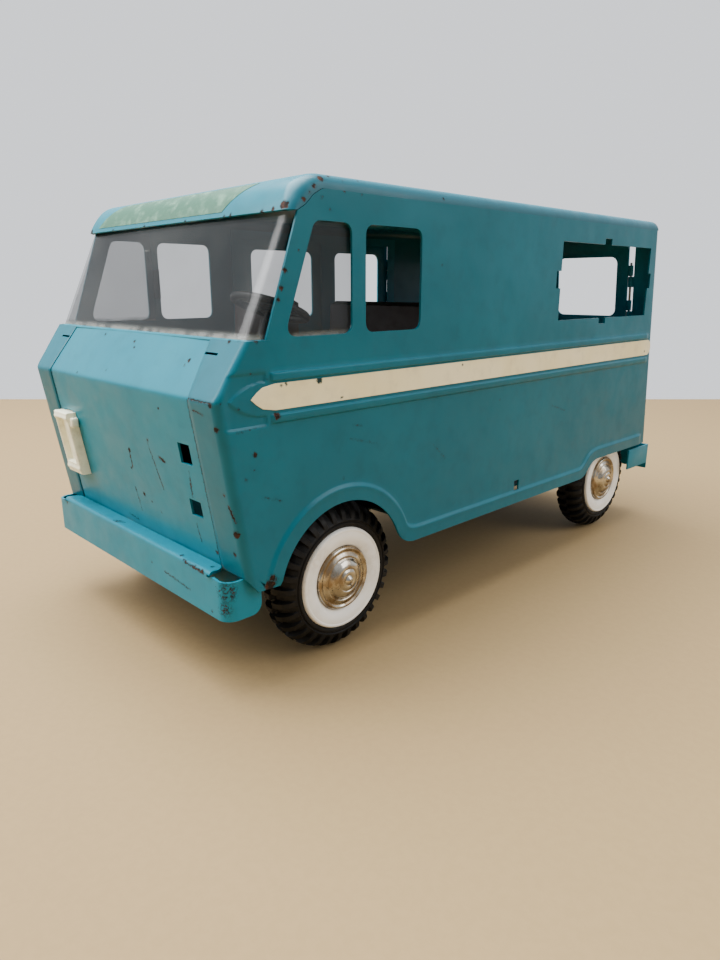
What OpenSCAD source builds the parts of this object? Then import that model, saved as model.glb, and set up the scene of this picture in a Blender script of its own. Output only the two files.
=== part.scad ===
// Toy step van of pressed sheet steel, in a painted body with plastic glazing and fittings.
// Front faces -Y, the vehicle's left side faces +X, +Z is up, and the tyres stand on z = 0.
// Section heights and lengths below count from the ground and from the front edge of the roof.

/* [Body] */
// Width over the plain side panels
body_w = 148.4; // [146:0.2:149]
// Height of the roof above the ground
roof_z = 177.4; // [176:0.2:180]
// Length of the roof, front edge to rear edge
roof_len = 251; // [248:1:254]
// Thickness of the sheet steel
sheet = 1; // [0.8:0.1:1.1]
// Lean of the rear wall out of the vertical, in degrees
rear_lean = 5.5; // [4.5:0.1:6]
// Height that the embossed bands and lips stand proud
emboss = 0.8; // [0.5:0.1:0.8]

/* [Front] */
// Height of the belt, where the bonnet starts to slope down
belt_z = 125.3; // [124.5:0.1:126]
// Height of the fold between bonnet and nose
fold_z = 107; // [106:0.5:108]
// Distance of the belt in front of the roof edge
belt_fwd = 34; // [33.5:0.1:34.5]
// Distance of the fold in front of the roof edge
fold_fwd = 46.5; // [46:0.1:47]
// Distance that the sun visor reaches in front of the roof edge
visor_fwd = 15.8; // [15.4:0.1:16.2]

/* [Wheels] */
// Radius of the tyres
tyre_r = 30.4; // [30:0.1:30.8]
// Width of the tyres
tyre_w = 15; // [14:0.5:15.5]
// Radius of the pale side wall
wall_r = 20.7; // [20:0.1:21]
// Radius of the hub cap
cap_r = 13; // [12.5:0.1:13.5]
// Front axle, behind the front edge of the roof
front_axle = 11.7; // [11:0.1:12.4]
// Rear axle, behind the front edge of the roof
rear_axle = 224.6; // [223:0.1:226]

/* [Doors] */
// How far the side doors open in the drawing, in degrees
side_door_open = 0; // [0:5:95]
// How far the rear doors open in the drawing, in degrees
rear_door_open = 0; // [0:5:100]

/* [Hidden] */
$fn = 48;
half_w = body_w / 2;
round_r = 5;
side_top = roof_z - round_r;
win_low = 125.9;
visor_low = 165.2;
win_high = 162.6;
floor_z = 47;
pad_step = 0.5;
body_low = 47.8;
sill_z = 39;
lip_h = 5.8;
nose_low = 46;
nose_low_fwd = 37.4;
arch_r = 31.6;
arch_y = 7;
arch_z = 33;
bead_r = arch_r + lip_h;
band_low = 98.1;
band_high = 114.8;
groove_low = 101.2;
groove_high = 112.2;
stripe_low = 102.6;
stripe_high = 111.4;
band_start = -25.5;
wrap_x = 58;
seam = 0.3;
bore_play = 0.05;
pin_r = 0.7;
knuckle_r = 1.3;
hinge_gap = 2.1;
side_front_hinge = 64.6;
side_rear_hinge = 184;
side_door_meet = 127.3;
side_door_low = 47;
side_door_high = 168.4;
rear_hinge_x = 59.5;
rear_door_low = -120;
rear_door_high = -12.5;
bumper_face = -44.6;
rear_bumper_face = 270;
bezel_depth = 5;
bezel_low = 59.5;
bezel_high = 92;
bezel_front = nose_y(bezel_high - 1) - bezel_depth;
y_mid = (bezel_front + rear_bumper_face) / 2;
axle_r = 2;
wheel_out = 68;
teal = [0.16, 0.50, 0.52];
cream = [0.93, 0.90, 0.76];

function rear_y(z) = roof_len + (roof_z - z) * tan(rear_lean);
function nose_y(z) = -fold_fwd + (fold_z - z) * (fold_fwd - nose_low_fwd) / (fold_z - nose_low);

// Points of an arc about c, from angle a to angle b
function arc(c, r, a, b, n = 12) =
    [for (i = [0:n]) let (t = a + (b - a) * i / n) [c[0] + r * cos(t), c[1] + r * sin(t)]];

function unit(v) = v / norm(v);

// Arc that rounds the corner q between p and s
function corner(p, q, s, r, n = 5) =
    let (
        u = unit(p - q),
        v = unit(s - q),
        half = acos(u * v) / 2,
        c = q + unit(u + v) * r / sin(half),
        first = q + u * r / tan(half) - c,
        last = q + v * r / tan(half) - c,
        a = atan2(first[1], first[0]),
        turn = atan2(last[1], last[0]) - a,
        sweep = turn > 180 ? turn - 360 : turn < -180 ? turn + 360 : turn
    )
    arc(c, r, a, a + sweep, n);

// Closed outline with every corner rounded to radius r
function rounded(pts, r) =
    let (n = len(pts))
    [for (i = [0:n - 1]) each corner(pts[(i + n - 1) % n], pts[i], pts[(i + 1) % n], r)];

function box_pts(y0, y1, z0, z1) = [[y0, z0], [y1, z0], [y1, z1], [y0, z1]];

module placed() {
    translate([0, -y_mid, 0])
        children();
}

// Outline in Y and Z, extruded from x0 to x1
module slab_x(x0, x1) {
    translate([x0, 0, 0])
        rotate([90, 0, 90])
            linear_extrude(x1 - x0)
                children();
}

// Outline in X and Z, extruded from y0 to y1
module slab_y(y0, y1) {
    translate([0, y1, 0])
        rotate([90, 0, 0])
            linear_extrude(y1 - y0)
                children();
}

module block(lo, hi) {
    translate(lo)
        cube(hi - lo);
}

module rod_x(r, x0, x1) {
    translate([x0, 0, 0])
        rotate([0, 90, 0])
            cylinder(r = r, h = x1 - x0);
}

module mirrored(flip) {
    mirror([flip ? 1 : 0, 0, 0])
        children();
}

// Frame of the rear wall: X across, Y outwards, Z up along the wall from the roof edge
module on_rear() {
    translate([0, roof_len, roof_z])
        rotate([rear_lean, 0, 0])
            children();
}

// Lower edge of a side panel, raised by k: arch, sill and the step behind the rear wheel
function low_edge(k) = concat(
    arc([arch_y, arch_z], arch_r + k, 167, 15, 20),
    [[arch_y + arch_r + 6 + k * 0.4, sill_z + k]],
    [[186.5 - k * 0.4, sill_z + k], [196 - k * 0.4, body_low - 0.6 + k], [199, body_low + k]]
);

// Joint between the visor's end and the side panel, from the roof to the visor's lip
visor_side = [[0, side_top], [-2.1, 172.3], [-5.5, 170.4], [-8.9, 167.2], [-12.3, visor_low]];

function side_outline() = concat(
    [[rear_y(side_top), side_top]],
    [for (p = visor_side) p - [0, 0.1]],
    [[-26.5, belt_z], [-belt_fwd, belt_z], [-fold_fwd, fold_z], [-nose_low_fwd, nose_low]],
    [[-31.7, 40.5]],
    low_edge(0),
    [[rear_y(body_low), body_low]]
);

function cab_window() = rounded([[11.5, win_low], [11.5, win_high], [-5.3, win_high], [-18.9, win_low]], 4);

// Sheet along the bonnet and nose, in Y and Z
module nose_outline() {
    polygon([
        [-belt_fwd, belt_z], [-fold_fwd, fold_z], [-nose_low_fwd, nose_low],
        [-nose_low_fwd + sheet, nose_low], [-fold_fwd + sheet * 1.15, fold_z], [-belt_fwd + sheet * 1.3, belt_z]
    ]);
}

module side_blank() {
    slab_x(half_w - sheet, half_w)
        polygon(side_outline());
    slab_x(wrap_x, half_w - sheet / 2)
        nose_outline();
}

// Embossed lip round the arches and along the sill
module side_lip() {
    rear = [[rear_y(body_low) - 6, body_low + lip_h], [rear_y(body_low) - 6, body_low]];
    slab_x(half_w - sheet / 2, half_w + emboss)
        polygon(concat(low_edge(0), [rear[1], rear[0]], [for (i = [len(low_edge(0)) - 1:-1:0]) low_edge(lip_h)[i]]));
}

// Two embossed ridges that frame the stripe, between y0 and y1
module band_ridges(y0, y1) {
    for (z = [[band_low, groove_low], [groove_high, band_high]])
        block([half_w - sheet / 2, y0, z[0]], [half_w + emboss, y1, z[1]]);
}

module left_side_panel() {
    color(teal) placed() difference() {
        union() {
            side_blank();
            side_lip();
            band_ridges(band_start, rear_y(band_high) - 5);
        }
        slab_x(half_w - 3, half_w + 3) {
            polygon(cab_window());
            polygon(rounded(box_pts(18.1, 47.9, win_low, win_high), 4));
            polygon(box_pts(149.5, 244.3, win_low, win_high));
            polygon(box_pts(145.5, 150, 141, 149));
            polygon(box_pts(244, 247, 141, 149));
            polygon(box_pts(190.5, 197.5, win_high - 1, win_high + 3));
            polygon(box_pts(190.5, 197.5, win_low - 3, win_low + 1));
            polygon(box_pts(120, 124, 46, 51));
        }
    }
}

// Hinge knuckles about a vertical line through the origin, on the sheet that reaches away to +X
module knuckles(zs, h, reach) {
    for (z = zs)
        translate([0, 0, z]) difference() {
            union() {
                cylinder(r = knuckle_r, h = h);
                translate([0, -sheet / 2, 0])
                    cube([reach, sheet, h]);
            }
            translate([0, 0, -1])
                cylinder(r = pin_r + bore_play, h = h + 2);
        }
}

module side_hinge(y) {
    translate([-half_w + sheet / 2, y, 0])
        children();
}

fixed_knuckles = [58, 78, 126, 146];
door_knuckles = [64.4, 84.4, 132.4, 152.4];
knuckle_h = 6;

module right_side_panel() {
    color(teal) placed() {
        difference() {
            mirrored(true) union() {
                side_blank();
                side_lip();
                band_ridges(band_start, rear_y(band_high) - 5);
            }
            slab_x(-half_w - 3, -half_w + 3) {
                polygon(cab_window());
                polygon(rounded(box_pts(18.1, 47.9, win_low, win_high), 4));
                polygon(box_pts(side_front_hinge - hinge_gap, side_rear_hinge + hinge_gap,
                    side_door_low - 0.5, side_door_high + 0.5));
            }
        }
        side_hinge(side_front_hinge)
            rotate([0, 0, -90])
                knuckles(fixed_knuckles, knuckle_h, hinge_gap + 0.5);
        side_hinge(side_rear_hinge)
            rotate([0, 0, 90])
                knuckles(fixed_knuckles, knuckle_h, hinge_gap + 0.5);
    }
}

// One side door, closed, with its hinge line at the origin and the sheet reaching to +Y
module side_door(width, win0, win1) {
    difference() {
        union() {
            slab_x(-sheet / 2, sheet / 2)
                polygon(box_pts(1.6, width, side_door_low, side_door_high));
            for (z = [[band_low, groove_low], [groove_high, band_high]])
                block([-sheet / 2 - emboss, 2.4, z[0]], [0, width, z[1]]);
        }
        slab_x(-3, 3)
            polygon(rounded(box_pts(win0, win1, 124.5, 161.5), 4));
    }
    rotate([0, 0, 90])
        knuckles(door_knuckles, knuckle_h, 2);
}

module side_front_door() {
    width = side_door_meet - seam - side_front_hinge;
    color(teal) placed() side_hinge(side_front_hinge)
        rotate([0, 0, side_door_open])
            side_door(width, 74.4 - side_front_hinge, 118 - side_front_hinge);
}

module side_rear_door() {
    width = side_rear_hinge - side_door_meet - seam;
    color(teal) placed() side_hinge(side_rear_hinge)
        mirror([0, 1, 0])
            rotate([0, 0, side_door_open])
                side_door(width, side_rear_hinge - 174, side_rear_hinge - 136.4);
}

module side_hinge_pins() {
    color("silver") placed()
        for (y = [side_front_hinge, side_rear_hinge])
            for (z = [57, 125])
                side_hinge(y)
                    translate([0, 0, z])
                        cylinder(r = pin_r, h = 35);
}

// Roof cross-section, in X and Z, w is the half width and cut lowers it by one sheet
module roof_section(cut) {
    r = round_r - cut;
    w = half_w - cut;
    for (s = [-1, 1])
        translate([s * (w - r), roof_z - round_r])
            intersection() {
                circle(r = r);
                translate([-r, 0])
                    square([2 * r, r]);
            }
    translate([-w + r, roof_z - round_r])
        square([2 * (w - r), r]);
}

// Visor profile: a curve from the roof edge down to the lip, in Y and Z
function visor_pt(t, d) =
    let (u = 1 - t)
    u * u * [0.5, roof_z - d] + 2 * u * t * [-12 + d * 0.6, roof_z - d] + t * t * [-visor_fwd + d, visor_low];

module roof_panel() {
    outer = [for (i = [0:10]) visor_pt(i / 10, 0)];
    inner = [for (i = [10:-1:0]) visor_pt(i / 10, sheet)];
    color(teal) placed() {
        slab_y(0, roof_len) difference() {
            roof_section(0);
            roof_section(sheet);
        }
        slab_x(-half_w, half_w)
            polygon(concat(outer, inner));
        for (s = [0, 1])
            mirrored(s == 1)
                slab_x(half_w - sheet, half_w)
                    polygon(concat(outer, [for (i = [len(visor_side) - 2:-1:0]) visor_side[i]], [[0.5, side_top]]));
    }
}

module front_panel() {
    color(teal) placed() difference() {
        union() {
            slab_x(-wrap_x + seam, wrap_x - seam)
                nose_outline();
            block([-wrap_x + seam, -belt_fwd + 0.4, belt_z - sheet], [wrap_x - seam, -27.5, belt_z]);
            block([-half_w + 2, -belt_fwd + 1.4, belt_z - sheet], [half_w - 2, -27.5, belt_z]);
            block([-wrap_x + seam, -nose_low_fwd, nose_low], [wrap_x - seam, -33, nose_low + sheet]);
        }
        for (s = [0, 1])
            mirrored(s == 1)
                for (z = [[82.8, 90.2], [63.2, 69.3]])
                    block([44.4, -50, z[0]], [51.8, -35, z[1]]);
    }
}

// Rear wall with one wide opening for the pair of doors
module rear_wall() {
    w = half_w - sheet - 0.1;
    top = -sheet - 0.2;
    corner = round_r - sheet + 0.1;
    color(teal) placed() on_rear() {
        difference() {
            slab_y(-sheet, 0)
                polygon(concat(
                    [[-w, -129.5], [w, -129.5]],
                    arc([w - corner, top - corner], corner, 0, 90, 6),
                    arc([corner - w, top - corner], corner, 90, 180, 6)
                ));
            block([-rear_hinge_x - hinge_gap, -3, rear_door_low - 0.5],
                [rear_hinge_x + hinge_gap, 3, rear_door_high + 0.5]);
        }
        for (s = [0, 1])
            mirrored(s == 1)
                translate([rear_hinge_x, -sheet / 2, 0])
                    knuckles(rear_fixed_knuckles, knuckle_h, hinge_gap + 0.5);
    }
}

rear_fixed_knuckles = [-110, -90, -56, -36];
rear_door_knuckles = [-103.6, -83.6, -49.6, -29.6];

// One rear door, closed, with its hinge line at the origin and the sheet reaching to -X
module rear_door() {
    difference() {
        block([-rear_hinge_x + seam, -sheet / 2, rear_door_low], [-1.6, sheet / 2, rear_door_high]);
        slab_y(-3, 3)
            polygon(rounded(box_pts(-rear_hinge_x + 11.7, -rear_hinge_x + 50.8, -53, -18.5), 4));
    }
    rotate([0, 0, 180])
        knuckles(rear_door_knuckles, knuckle_h, 2);
}

module rear_left_door() {
    color(teal) placed() on_rear()
        translate([rear_hinge_x, -sheet / 2, 0])
            rotate([0, 0, -rear_door_open])
                rear_door();
}

module rear_right_door() {
    color(teal) placed() on_rear()
        translate([-rear_hinge_x, -sheet / 2, 0])
            mirror([1, 0, 0])
                rotate([0, 0, -rear_door_open])
                    rear_door();
}

module rear_hinge_pins() {
    color("silver") placed() on_rear()
        for (s = [-1, 1])
            for (z = [-111, -57])
                translate([s * rear_hinge_x, -sheet / 2, z])
                    cylinder(r = pin_r, h = 35);
}

// Painted spear stripe that lies in the groove, pointed at the front and round at the rear
module side_stripe_left() {
    mid = (stripe_low + stripe_high) / 2;
    half = (stripe_high - stripe_low) / 2;
    color(cream) placed()
        slab_x(half_w + 0.05, half_w + 0.3)
            polygon(concat(
                [[-33.3, mid], [-31, mid - 2], [-28.6, mid - 3.5], [-23.5, stripe_low]],
                arc([rear_y(mid) - 5.5, mid], half, -90, 90, 10),
                [[-23.5, stripe_high], [-28.6, mid + 3.5], [-31, mid + 2]]
            ));
}

module side_stripe_right() {
    mid = (stripe_low + stripe_high) / 2;
    half = (stripe_high - stripe_low) / 2;
    color(cream) placed()
        slab_x(-half_w - 0.3, -half_w - 0.05) {
            polygon([
                [-33.3, mid], [-31, mid - 2], [-28.6, mid - 3.5], [-23.5, stripe_low],
                [side_front_hinge - 3, stripe_low], [side_front_hinge - 3, stripe_high],
                [-23.5, stripe_high], [-28.6, mid + 3.5], [-31, mid + 2]
            ]);
            polygon(concat(
                [[side_rear_hinge + 3, stripe_high], [side_rear_hinge + 3, stripe_low]],
                arc([rear_y(mid) - 5.5, mid], half, -90, 90, 10)
            ));
        }
}

// Clear moulding: one bent pane in front and a short return behind each cab window
module windshield() {
    color([0.75, 0.8, 0.8, 0.4]) placed() {
        slab_x(-half_w + 2.2, half_w - 2.2)
            polygon([[-32.2, belt_z + 0.3], [-31.1, belt_z + 0.3], [-12.5, 166.2], [-13.6, 166.2]]);
        for (s = [0, 1])
            mirrored(s == 1)
                slab_x(half_w - 2.2, half_w - 1.2)
                    polygon([[-32.2, belt_z + 0.3], [14, belt_z + 0.3], [14, 166.2], [-13.6, 166.2]]);
    }
}

module glazing_clips() {
    color("black") placed()
        for (s = [0, 1])
            mirrored(s == 1)
                block([half_w - 2.4, 14.3, 136], [half_w - sheet - 0.05, 17.6, 150]);
}

// Moulded lamp surround on the vehicle's right, with two lugs in the square holes
module right_lamp_bezel() {
    low = bezel_low;
    high = bezel_high;
    d = bezel_depth;
    color(cream) placed() {
        slab_x(-55, -41.3)
            polygon([
                [nose_y(high) - 0.1, high], [nose_y(high - 1) - d + 1, high], [nose_y(high - 1) - d, high - 1],
                [nose_y(high - 4) - d, high - 4], [nose_y(high - 6) - d + 1.4, high - 6],
                [nose_y(low + 5) - d + 1.4, low + 5], [nose_y(low + 3.5) - d, low + 3.5],
                [nose_y(low + 0.5) - d, low + 0.5], [nose_y(low) - d + 1, low], [nose_y(low) - 0.1, low]
            ]);
        for (z = [[83.3, 89.7], [63.7, 68.8]])
            block([-51.4, nose_y(z[0]) - 1, z[0]], [-44.8, nose_y(z[1]) + 4, z[1]]);
    }
}

// Floor sheet with clearance for the wheels
module floor_pan() {
    color([0.15, 0.45, 0.47]) placed() difference() {
        union() {
            block([-half_w + sheet + 0.1, -32.5, floor_z],
                [half_w - sheet - 0.1, rear_y(floor_z) - 3, floor_z + sheet]);
            block([-46, 50, floor_z - pad_step], [46, 175, floor_z + sheet]);
        }
        block([-45, 51, floor_z + sheet - pad_step], [45, 174, floor_z + 2 * sheet]);
        for (s = [0, 1])
            mirrored(s == 1)
                for (y = [front_axle, rear_axle])
                    block([50, y - 34, floor_z - 1], [half_w + 1, y + 34, floor_z + 2]);
        for (y = [front_axle, rear_axle])
            for (x = [-1, 1])
                for (dy = [-10, 10])
                    translate([x * 38, y + dy, floor_z - 1])
                        cylinder(r = 1.6, h = 3);
    }
}

// Bent strap under the floor that carries one axle
module axle_bracket(y) {
    difference() {
        union() {
            for (s = [-1, 1])
                block([s * 45 - sheet / 2, y - 8, tyre_r - 6], [s * 45 + sheet / 2, y + 8, floor_z - sheet / 2]);
            for (s = [-1, 1])
                block([s * 38 - 7.5, y - 14, floor_z - sheet], [s * 38 + 7.5, y + 14, floor_z]);
        }
        translate([0, y, tyre_r])
            rod_x(axle_r + bore_play, -60, 60);
        for (x = [-1, 1])
            for (dy = [-10, 10])
                translate([x * 38, y + dy, floor_z - 3])
                    cylinder(r = 1.6, h = 5);
    }
}

module front_axle_brackets() {
    color("silver") placed()
        axle_bracket(front_axle);
}

module rear_axle_brackets() {
    color("silver") placed()
        axle_bracket(rear_axle);
}

module bracket_rivets() {
    color("silver") placed()
        for (y = [front_axle, rear_axle])
            for (x = [-1, 1])
                for (dy = [-10, 10])
                    translate([x * 38, y + dy, 0]) {
                        translate([0, 0, floor_z - sheet - 1])
                            cylinder(r = 2.8, h = 1);
                        translate([0, 0, floor_z - sheet - 0.5])
                            cylinder(r = 1.55, h = 2 * sheet + 0.8);
                        translate([0, 0, floor_z + sheet])
                            cylinder(r = 2.8, h = 1);
                    }
}

module axle(y) {
    translate([0, y, tyre_r])
        rod_x(axle_r, -64.5, 64.5);
}

module front_axle_rod() {
    color("silver") placed()
        axle(front_axle);
}

module rear_axle_rod() {
    color("silver") placed()
        axle(rear_axle);
}

// Turns an outline of radius and distance from the wheel's inner face into a wheel part
module wheel_turn(y, left) {
    translate([0, y, tyre_r])
        mirrored(!left)
            translate([wheel_out - tyre_w, 0, 0])
                rotate([0, 90, 0])
                    rotate_extrude($fn = 72)
                        children();
}

module tyre(y, left) {
    hole = axle_r + bore_play;
    color([0.06, 0.06, 0.06]) placed() wheel_turn(y, left)
        polygon([
            [hole, 2], [wall_r - 2, 2], [wall_r - 1, 0.8], [tyre_r - 3.5, 0], [tyre_r - 0.8, 1.2], [tyre_r, 3],
            [tyre_r, tyre_w - 3], [tyre_r - 0.8, tyre_w - 1.2], [tyre_r - 3.5, tyre_w],
            [wall_r + 0.05, tyre_w - 0.6], [wall_r + 0.05, tyre_w - 6], [wall_r - 2, tyre_w - 7], [hole, 6]
        ]);
}

module whitewall(y, left) {
    hole = axle_r + bore_play;
    color("white") placed() wheel_turn(y, left)
        polygon([
            [hole, 6.1], [wall_r - 2.1, tyre_w - 6.9], [wall_r, tyre_w - 5.8], [wall_r, tyre_w],
            [wall_r - 2, tyre_w + 0.9], [wall_r - 5, tyre_w + 0.9], [cap_r, tyre_w - 1.2], [hole, tyre_w - 1.2]
        ]);
}

module hub_cap(y, left) {
    color("silver") placed() wheel_turn(y, left)
        polygon([
            [0, tyre_w - 1.1], [cap_r - 0.1, tyre_w - 1.1], [cap_r, tyre_w + 0.2], [cap_r - 2, tyre_w + 1.2],
            [8.6, tyre_w + 1.6], [8, tyre_w + 2.6], [4.6, tyre_w + 3.2], [4.2, tyre_w + 4], [2, tyre_w + 4.8],
            [0, tyre_w + 5]
        ]);
}

module front_left_tyre() { tyre(front_axle, true); }
module front_right_tyre() { tyre(front_axle, false); }
module rear_left_tyre() { tyre(rear_axle, true); }
module rear_right_tyre() { tyre(rear_axle, false); }
module front_left_whitewall() { whitewall(front_axle, true); }
module front_right_whitewall() { whitewall(front_axle, false); }
module rear_left_whitewall() { whitewall(rear_axle, true); }
module rear_right_whitewall() { whitewall(rear_axle, false); }
module front_left_hub_cap() { hub_cap(front_axle, true); }
module front_right_hub_cap() { hub_cap(front_axle, false); }
module rear_left_hub_cap() { hub_cap(rear_axle, true); }
module rear_right_hub_cap() { hub_cap(rear_axle, false); }

module front_bumper() {
    w = 71.2;
    color(teal) placed() {
        block([-w, bumper_face, 31], [w, bumper_face + sheet, 47.4]);
        block([-60, bumper_face, 46.4], [60, -38.8, 47.4]);
        for (s = [-1, 1])
            block([s * (w - sheet / 2) - sheet / 2, bumper_face, 31], [s * (w - sheet / 2) + sheet / 2, -30, 46]);
        for (s = [-1, 1])
            block([s * 30 - 8, bumper_face + sheet / 2, nose_low - sheet], [s * 30 + 8, -32.6, nose_low]);
    }
}

module rear_bumper() {
    w = half_w + 0.2;
    color(teal) placed() {
        block([-w, rear_bumper_face - sheet, 30], [w, rear_bumper_face, 45.6]);
        block([-60, 264.4, 44.6], [60, rear_bumper_face, 45.6]);
        for (s = [-1, 1])
            block([s * (w - sheet / 2) - sheet / 2, 243.5, 33.5],
                [s * (w - sheet / 2) + sheet / 2, rear_bumper_face, 45.6]);
        for (s = [-1, 1])
            block([s * 30 - 8, 240, 44.6], [s * 30 + 8, 265, floor_z]);
    }
}

// One moulded seat: a hollow box cushion with an upright back, notched over the wheel well and the rivets
module seat(x0, x1) {
    low = floor_z + sheet;
    difference() {
        slab_x(x0, x1)
            polygon([[22, low], [62, low], [64, 134], [61, 135.5], [57.5, 134], [55, 92], [24, 90], [21, 87]]);
        slab_x(x0 + 2, x1 - 2)
            polygon([[24.5, low - 1], [59.5, low - 1], [60.5, 84], [24.5, 84]]);
        for (s = [0, 1])
            mirrored(s == 1)
                block([49.8, front_axle - 34.2, low - 2], [half_w, front_axle + 34.2, 65]);
        for (x = [-38, 38])
            translate([x, front_axle + 10, low - 1])
                cylinder(r = 3.2, h = 2.4);
    }
}

module driver_seat() {
    color([0.2, 0.12, 0.09]) placed()
        seat(11, 66);
}

module passenger_seat() {
    color([0.2, 0.12, 0.09]) placed()
        seat(-66, -20);
}

wheel_tilt = 70;
steer_pos = [38, 3, 134];

// Frame of the steering wheel: Z along the column, up and back towards the driver
module on_column() {
    translate(steer_pos)
        rotate([-90 + wheel_tilt, 0, 0])
            mirror([0, 1, 0])
                children();
}

module steering_column() {
    color("black") placed() on_column() {
        translate([0, 0, -90.2])
            cylinder(r = 2.5, h = 85.2);
        translate([0, 0, -6])
            cylinder(r = 1.6, h = 9);
    }
}

module steering_wheel() {
    color("black") placed() on_column() {
        rotate_extrude()
            translate([14, 0])
                circle(r = 1.5, $fn = 24);
        difference() {
            union() {
                translate([0, 0, -2])
                    cylinder(r = 4, h = 4);
                for (a = [90, 210, 330])
                    rotate([0, 0, a])
                        translate([0, -1.2, -0.9])
                            cube([14, 2.4, 1.8]);
            }
            translate([0, 0, -3])
                cylinder(r = 1.6 + bore_play, h = 7);
        }
    }
}

left_side_panel();
right_side_panel();
roof_panel();
front_panel();
rear_wall();
floor_pan();
side_front_door();
side_rear_door();
side_hinge_pins();
rear_left_door();
rear_right_door();
rear_hinge_pins();
side_stripe_left();
side_stripe_right();
windshield();
glazing_clips();
right_lamp_bezel();
front_bumper();
rear_bumper();
front_axle_brackets();
rear_axle_brackets();
bracket_rivets();
front_axle_rod();
rear_axle_rod();
front_left_tyre();
front_right_tyre();
rear_left_tyre();
rear_right_tyre();
front_left_whitewall();
front_right_whitewall();
rear_left_whitewall();
rear_right_whitewall();
front_left_hub_cap();
front_right_hub_cap();
rear_left_hub_cap();
rear_right_hub_cap();
driver_seat();
passenger_seat();
steering_column();
steering_wheel();
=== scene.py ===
"""Toy step van of pressed sheet steel: its skins, glazing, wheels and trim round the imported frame.

Lengths in the classes are millimetres from the datum: the front edge of the roof, at floor height,
midway between the sides. The front faces -Y and the vehicle's left side faces +X.
"""

import logging
import math
from collections.abc import Callable, Sequence
from dataclasses import dataclass, field
from enum import Enum

import bmesh
import bpy
from mathutils import Matrix, Vector


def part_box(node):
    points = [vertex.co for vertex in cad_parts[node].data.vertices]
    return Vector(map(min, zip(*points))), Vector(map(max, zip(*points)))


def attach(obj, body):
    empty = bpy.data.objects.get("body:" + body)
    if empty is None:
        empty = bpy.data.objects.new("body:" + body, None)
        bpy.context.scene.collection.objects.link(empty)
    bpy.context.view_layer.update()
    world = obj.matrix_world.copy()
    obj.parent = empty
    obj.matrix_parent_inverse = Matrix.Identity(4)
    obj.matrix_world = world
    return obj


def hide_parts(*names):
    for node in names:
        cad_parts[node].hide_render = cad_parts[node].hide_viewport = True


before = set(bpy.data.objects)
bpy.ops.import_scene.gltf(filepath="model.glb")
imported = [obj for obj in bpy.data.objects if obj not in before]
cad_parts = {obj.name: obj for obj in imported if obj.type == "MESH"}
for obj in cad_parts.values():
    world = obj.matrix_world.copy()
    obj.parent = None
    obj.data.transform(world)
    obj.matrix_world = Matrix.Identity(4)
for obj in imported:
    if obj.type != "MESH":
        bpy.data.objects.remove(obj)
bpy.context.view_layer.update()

LOG = logging.getLogger("step_van")
MM = 0.001
ROOF_LENGTH = 251.0
DATUM_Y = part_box("roof_panel")[1].y - ROOF_LENGTH * MM
MERGE = 2e-6
SHARP_ANGLE = math.radians(32)

Point2 = tuple[float, float]
Point3 = tuple[float, float, float]
Value = float | tuple | bpy.types.NodeSocket


class Side(Enum):
    """The two long sides of the vehicle, by the sign of X."""

    LEFT = 1
    RIGHT = -1


class Body(Enum):
    """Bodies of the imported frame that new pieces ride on."""

    SHELL = "body"
    SIDE_FRONT_DOOR = "side_front_door"
    SIDE_REAR_DOOR = "side_rear_door"
    REAR_LEFT_DOOR = "rear_left_door"
    REAR_RIGHT_DOOR = "rear_right_door"
    STEERING_WHEEL = "steering_wheel"


# ---------------------------------------------------------------- geometry helpers


def at(x: float, y: float, z: float) -> Vector:
    """Returns the frame point, in metres, of a datum point in millimetres."""
    return Vector((x * MM, y * MM + DATUM_Y, z * MM))


def spaced(start: float, stop: float, count: int) -> list[float]:
    """Returns count + 1 values from start to stop at even steps."""
    return [start + (stop - start) * i / count for i in range(count + 1)]


def ease(t: float) -> float:
    """Returns the smooth step of t, 0 below 0 and 1 above 1."""
    t = min(1.0, max(0.0, t))
    return t * t * (3 - 2 * t)


def mix(a: float, b: float, t: float) -> float:
    """Returns the value a share t of the way from a to b."""
    return a + (b - a) * t


def bezier(p: Point2, q: Point2, r: Point2, t: float) -> Point2:
    """Returns the point at t of the quadratic curve from p to r with control point q."""
    u = 1 - t
    return (u * u * p[0] + 2 * u * t * q[0] + t * t * r[0], u * u * p[1] + 2 * u * t * q[1] + t * t * r[1])


def table_value(table: Sequence[Point2], key: float) -> float:
    """Reads a table of (key, value) pairs joined by straight lines.

    Args:
        table: Pairs in order of their keys.
        key: Key to read at.

    Returns:
        The value there, held level past either end.
    """
    for (k0, v0), (k1, v1) in zip(table, table[1:]):
        if key <= k1:
            return mix(v0, v1, max(0.0, (key - k0) / (k1 - k0)))
    return table[-1][1]


def rounded(points: Sequence[Point2], radius: float, steps: int = 6) -> list[Point2]:
    """Rounds every corner of a closed outline.

    Args:
        points: Corners of the outline.
        radius: Radius of each corner.
        steps: Straight pieces that make up a corner.

    Returns:
        The points of the rounded outline.
    """
    made: list[Point2] = []
    for i, point in enumerate(points):
        before, corner, after = Vector(points[i - 1]), Vector(point), Vector(points[(i + 1) % len(points)])
        u, v = (before - corner).normalized(), (after - corner).normalized()
        reach = radius / math.tan(u.angle(v) / 2)
        first, last = corner + u * reach, corner + v * reach
        made += [bezier(tuple(first), tuple(corner), tuple(last), t) for t in spaced(0, 1, steps)]
    return made


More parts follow.
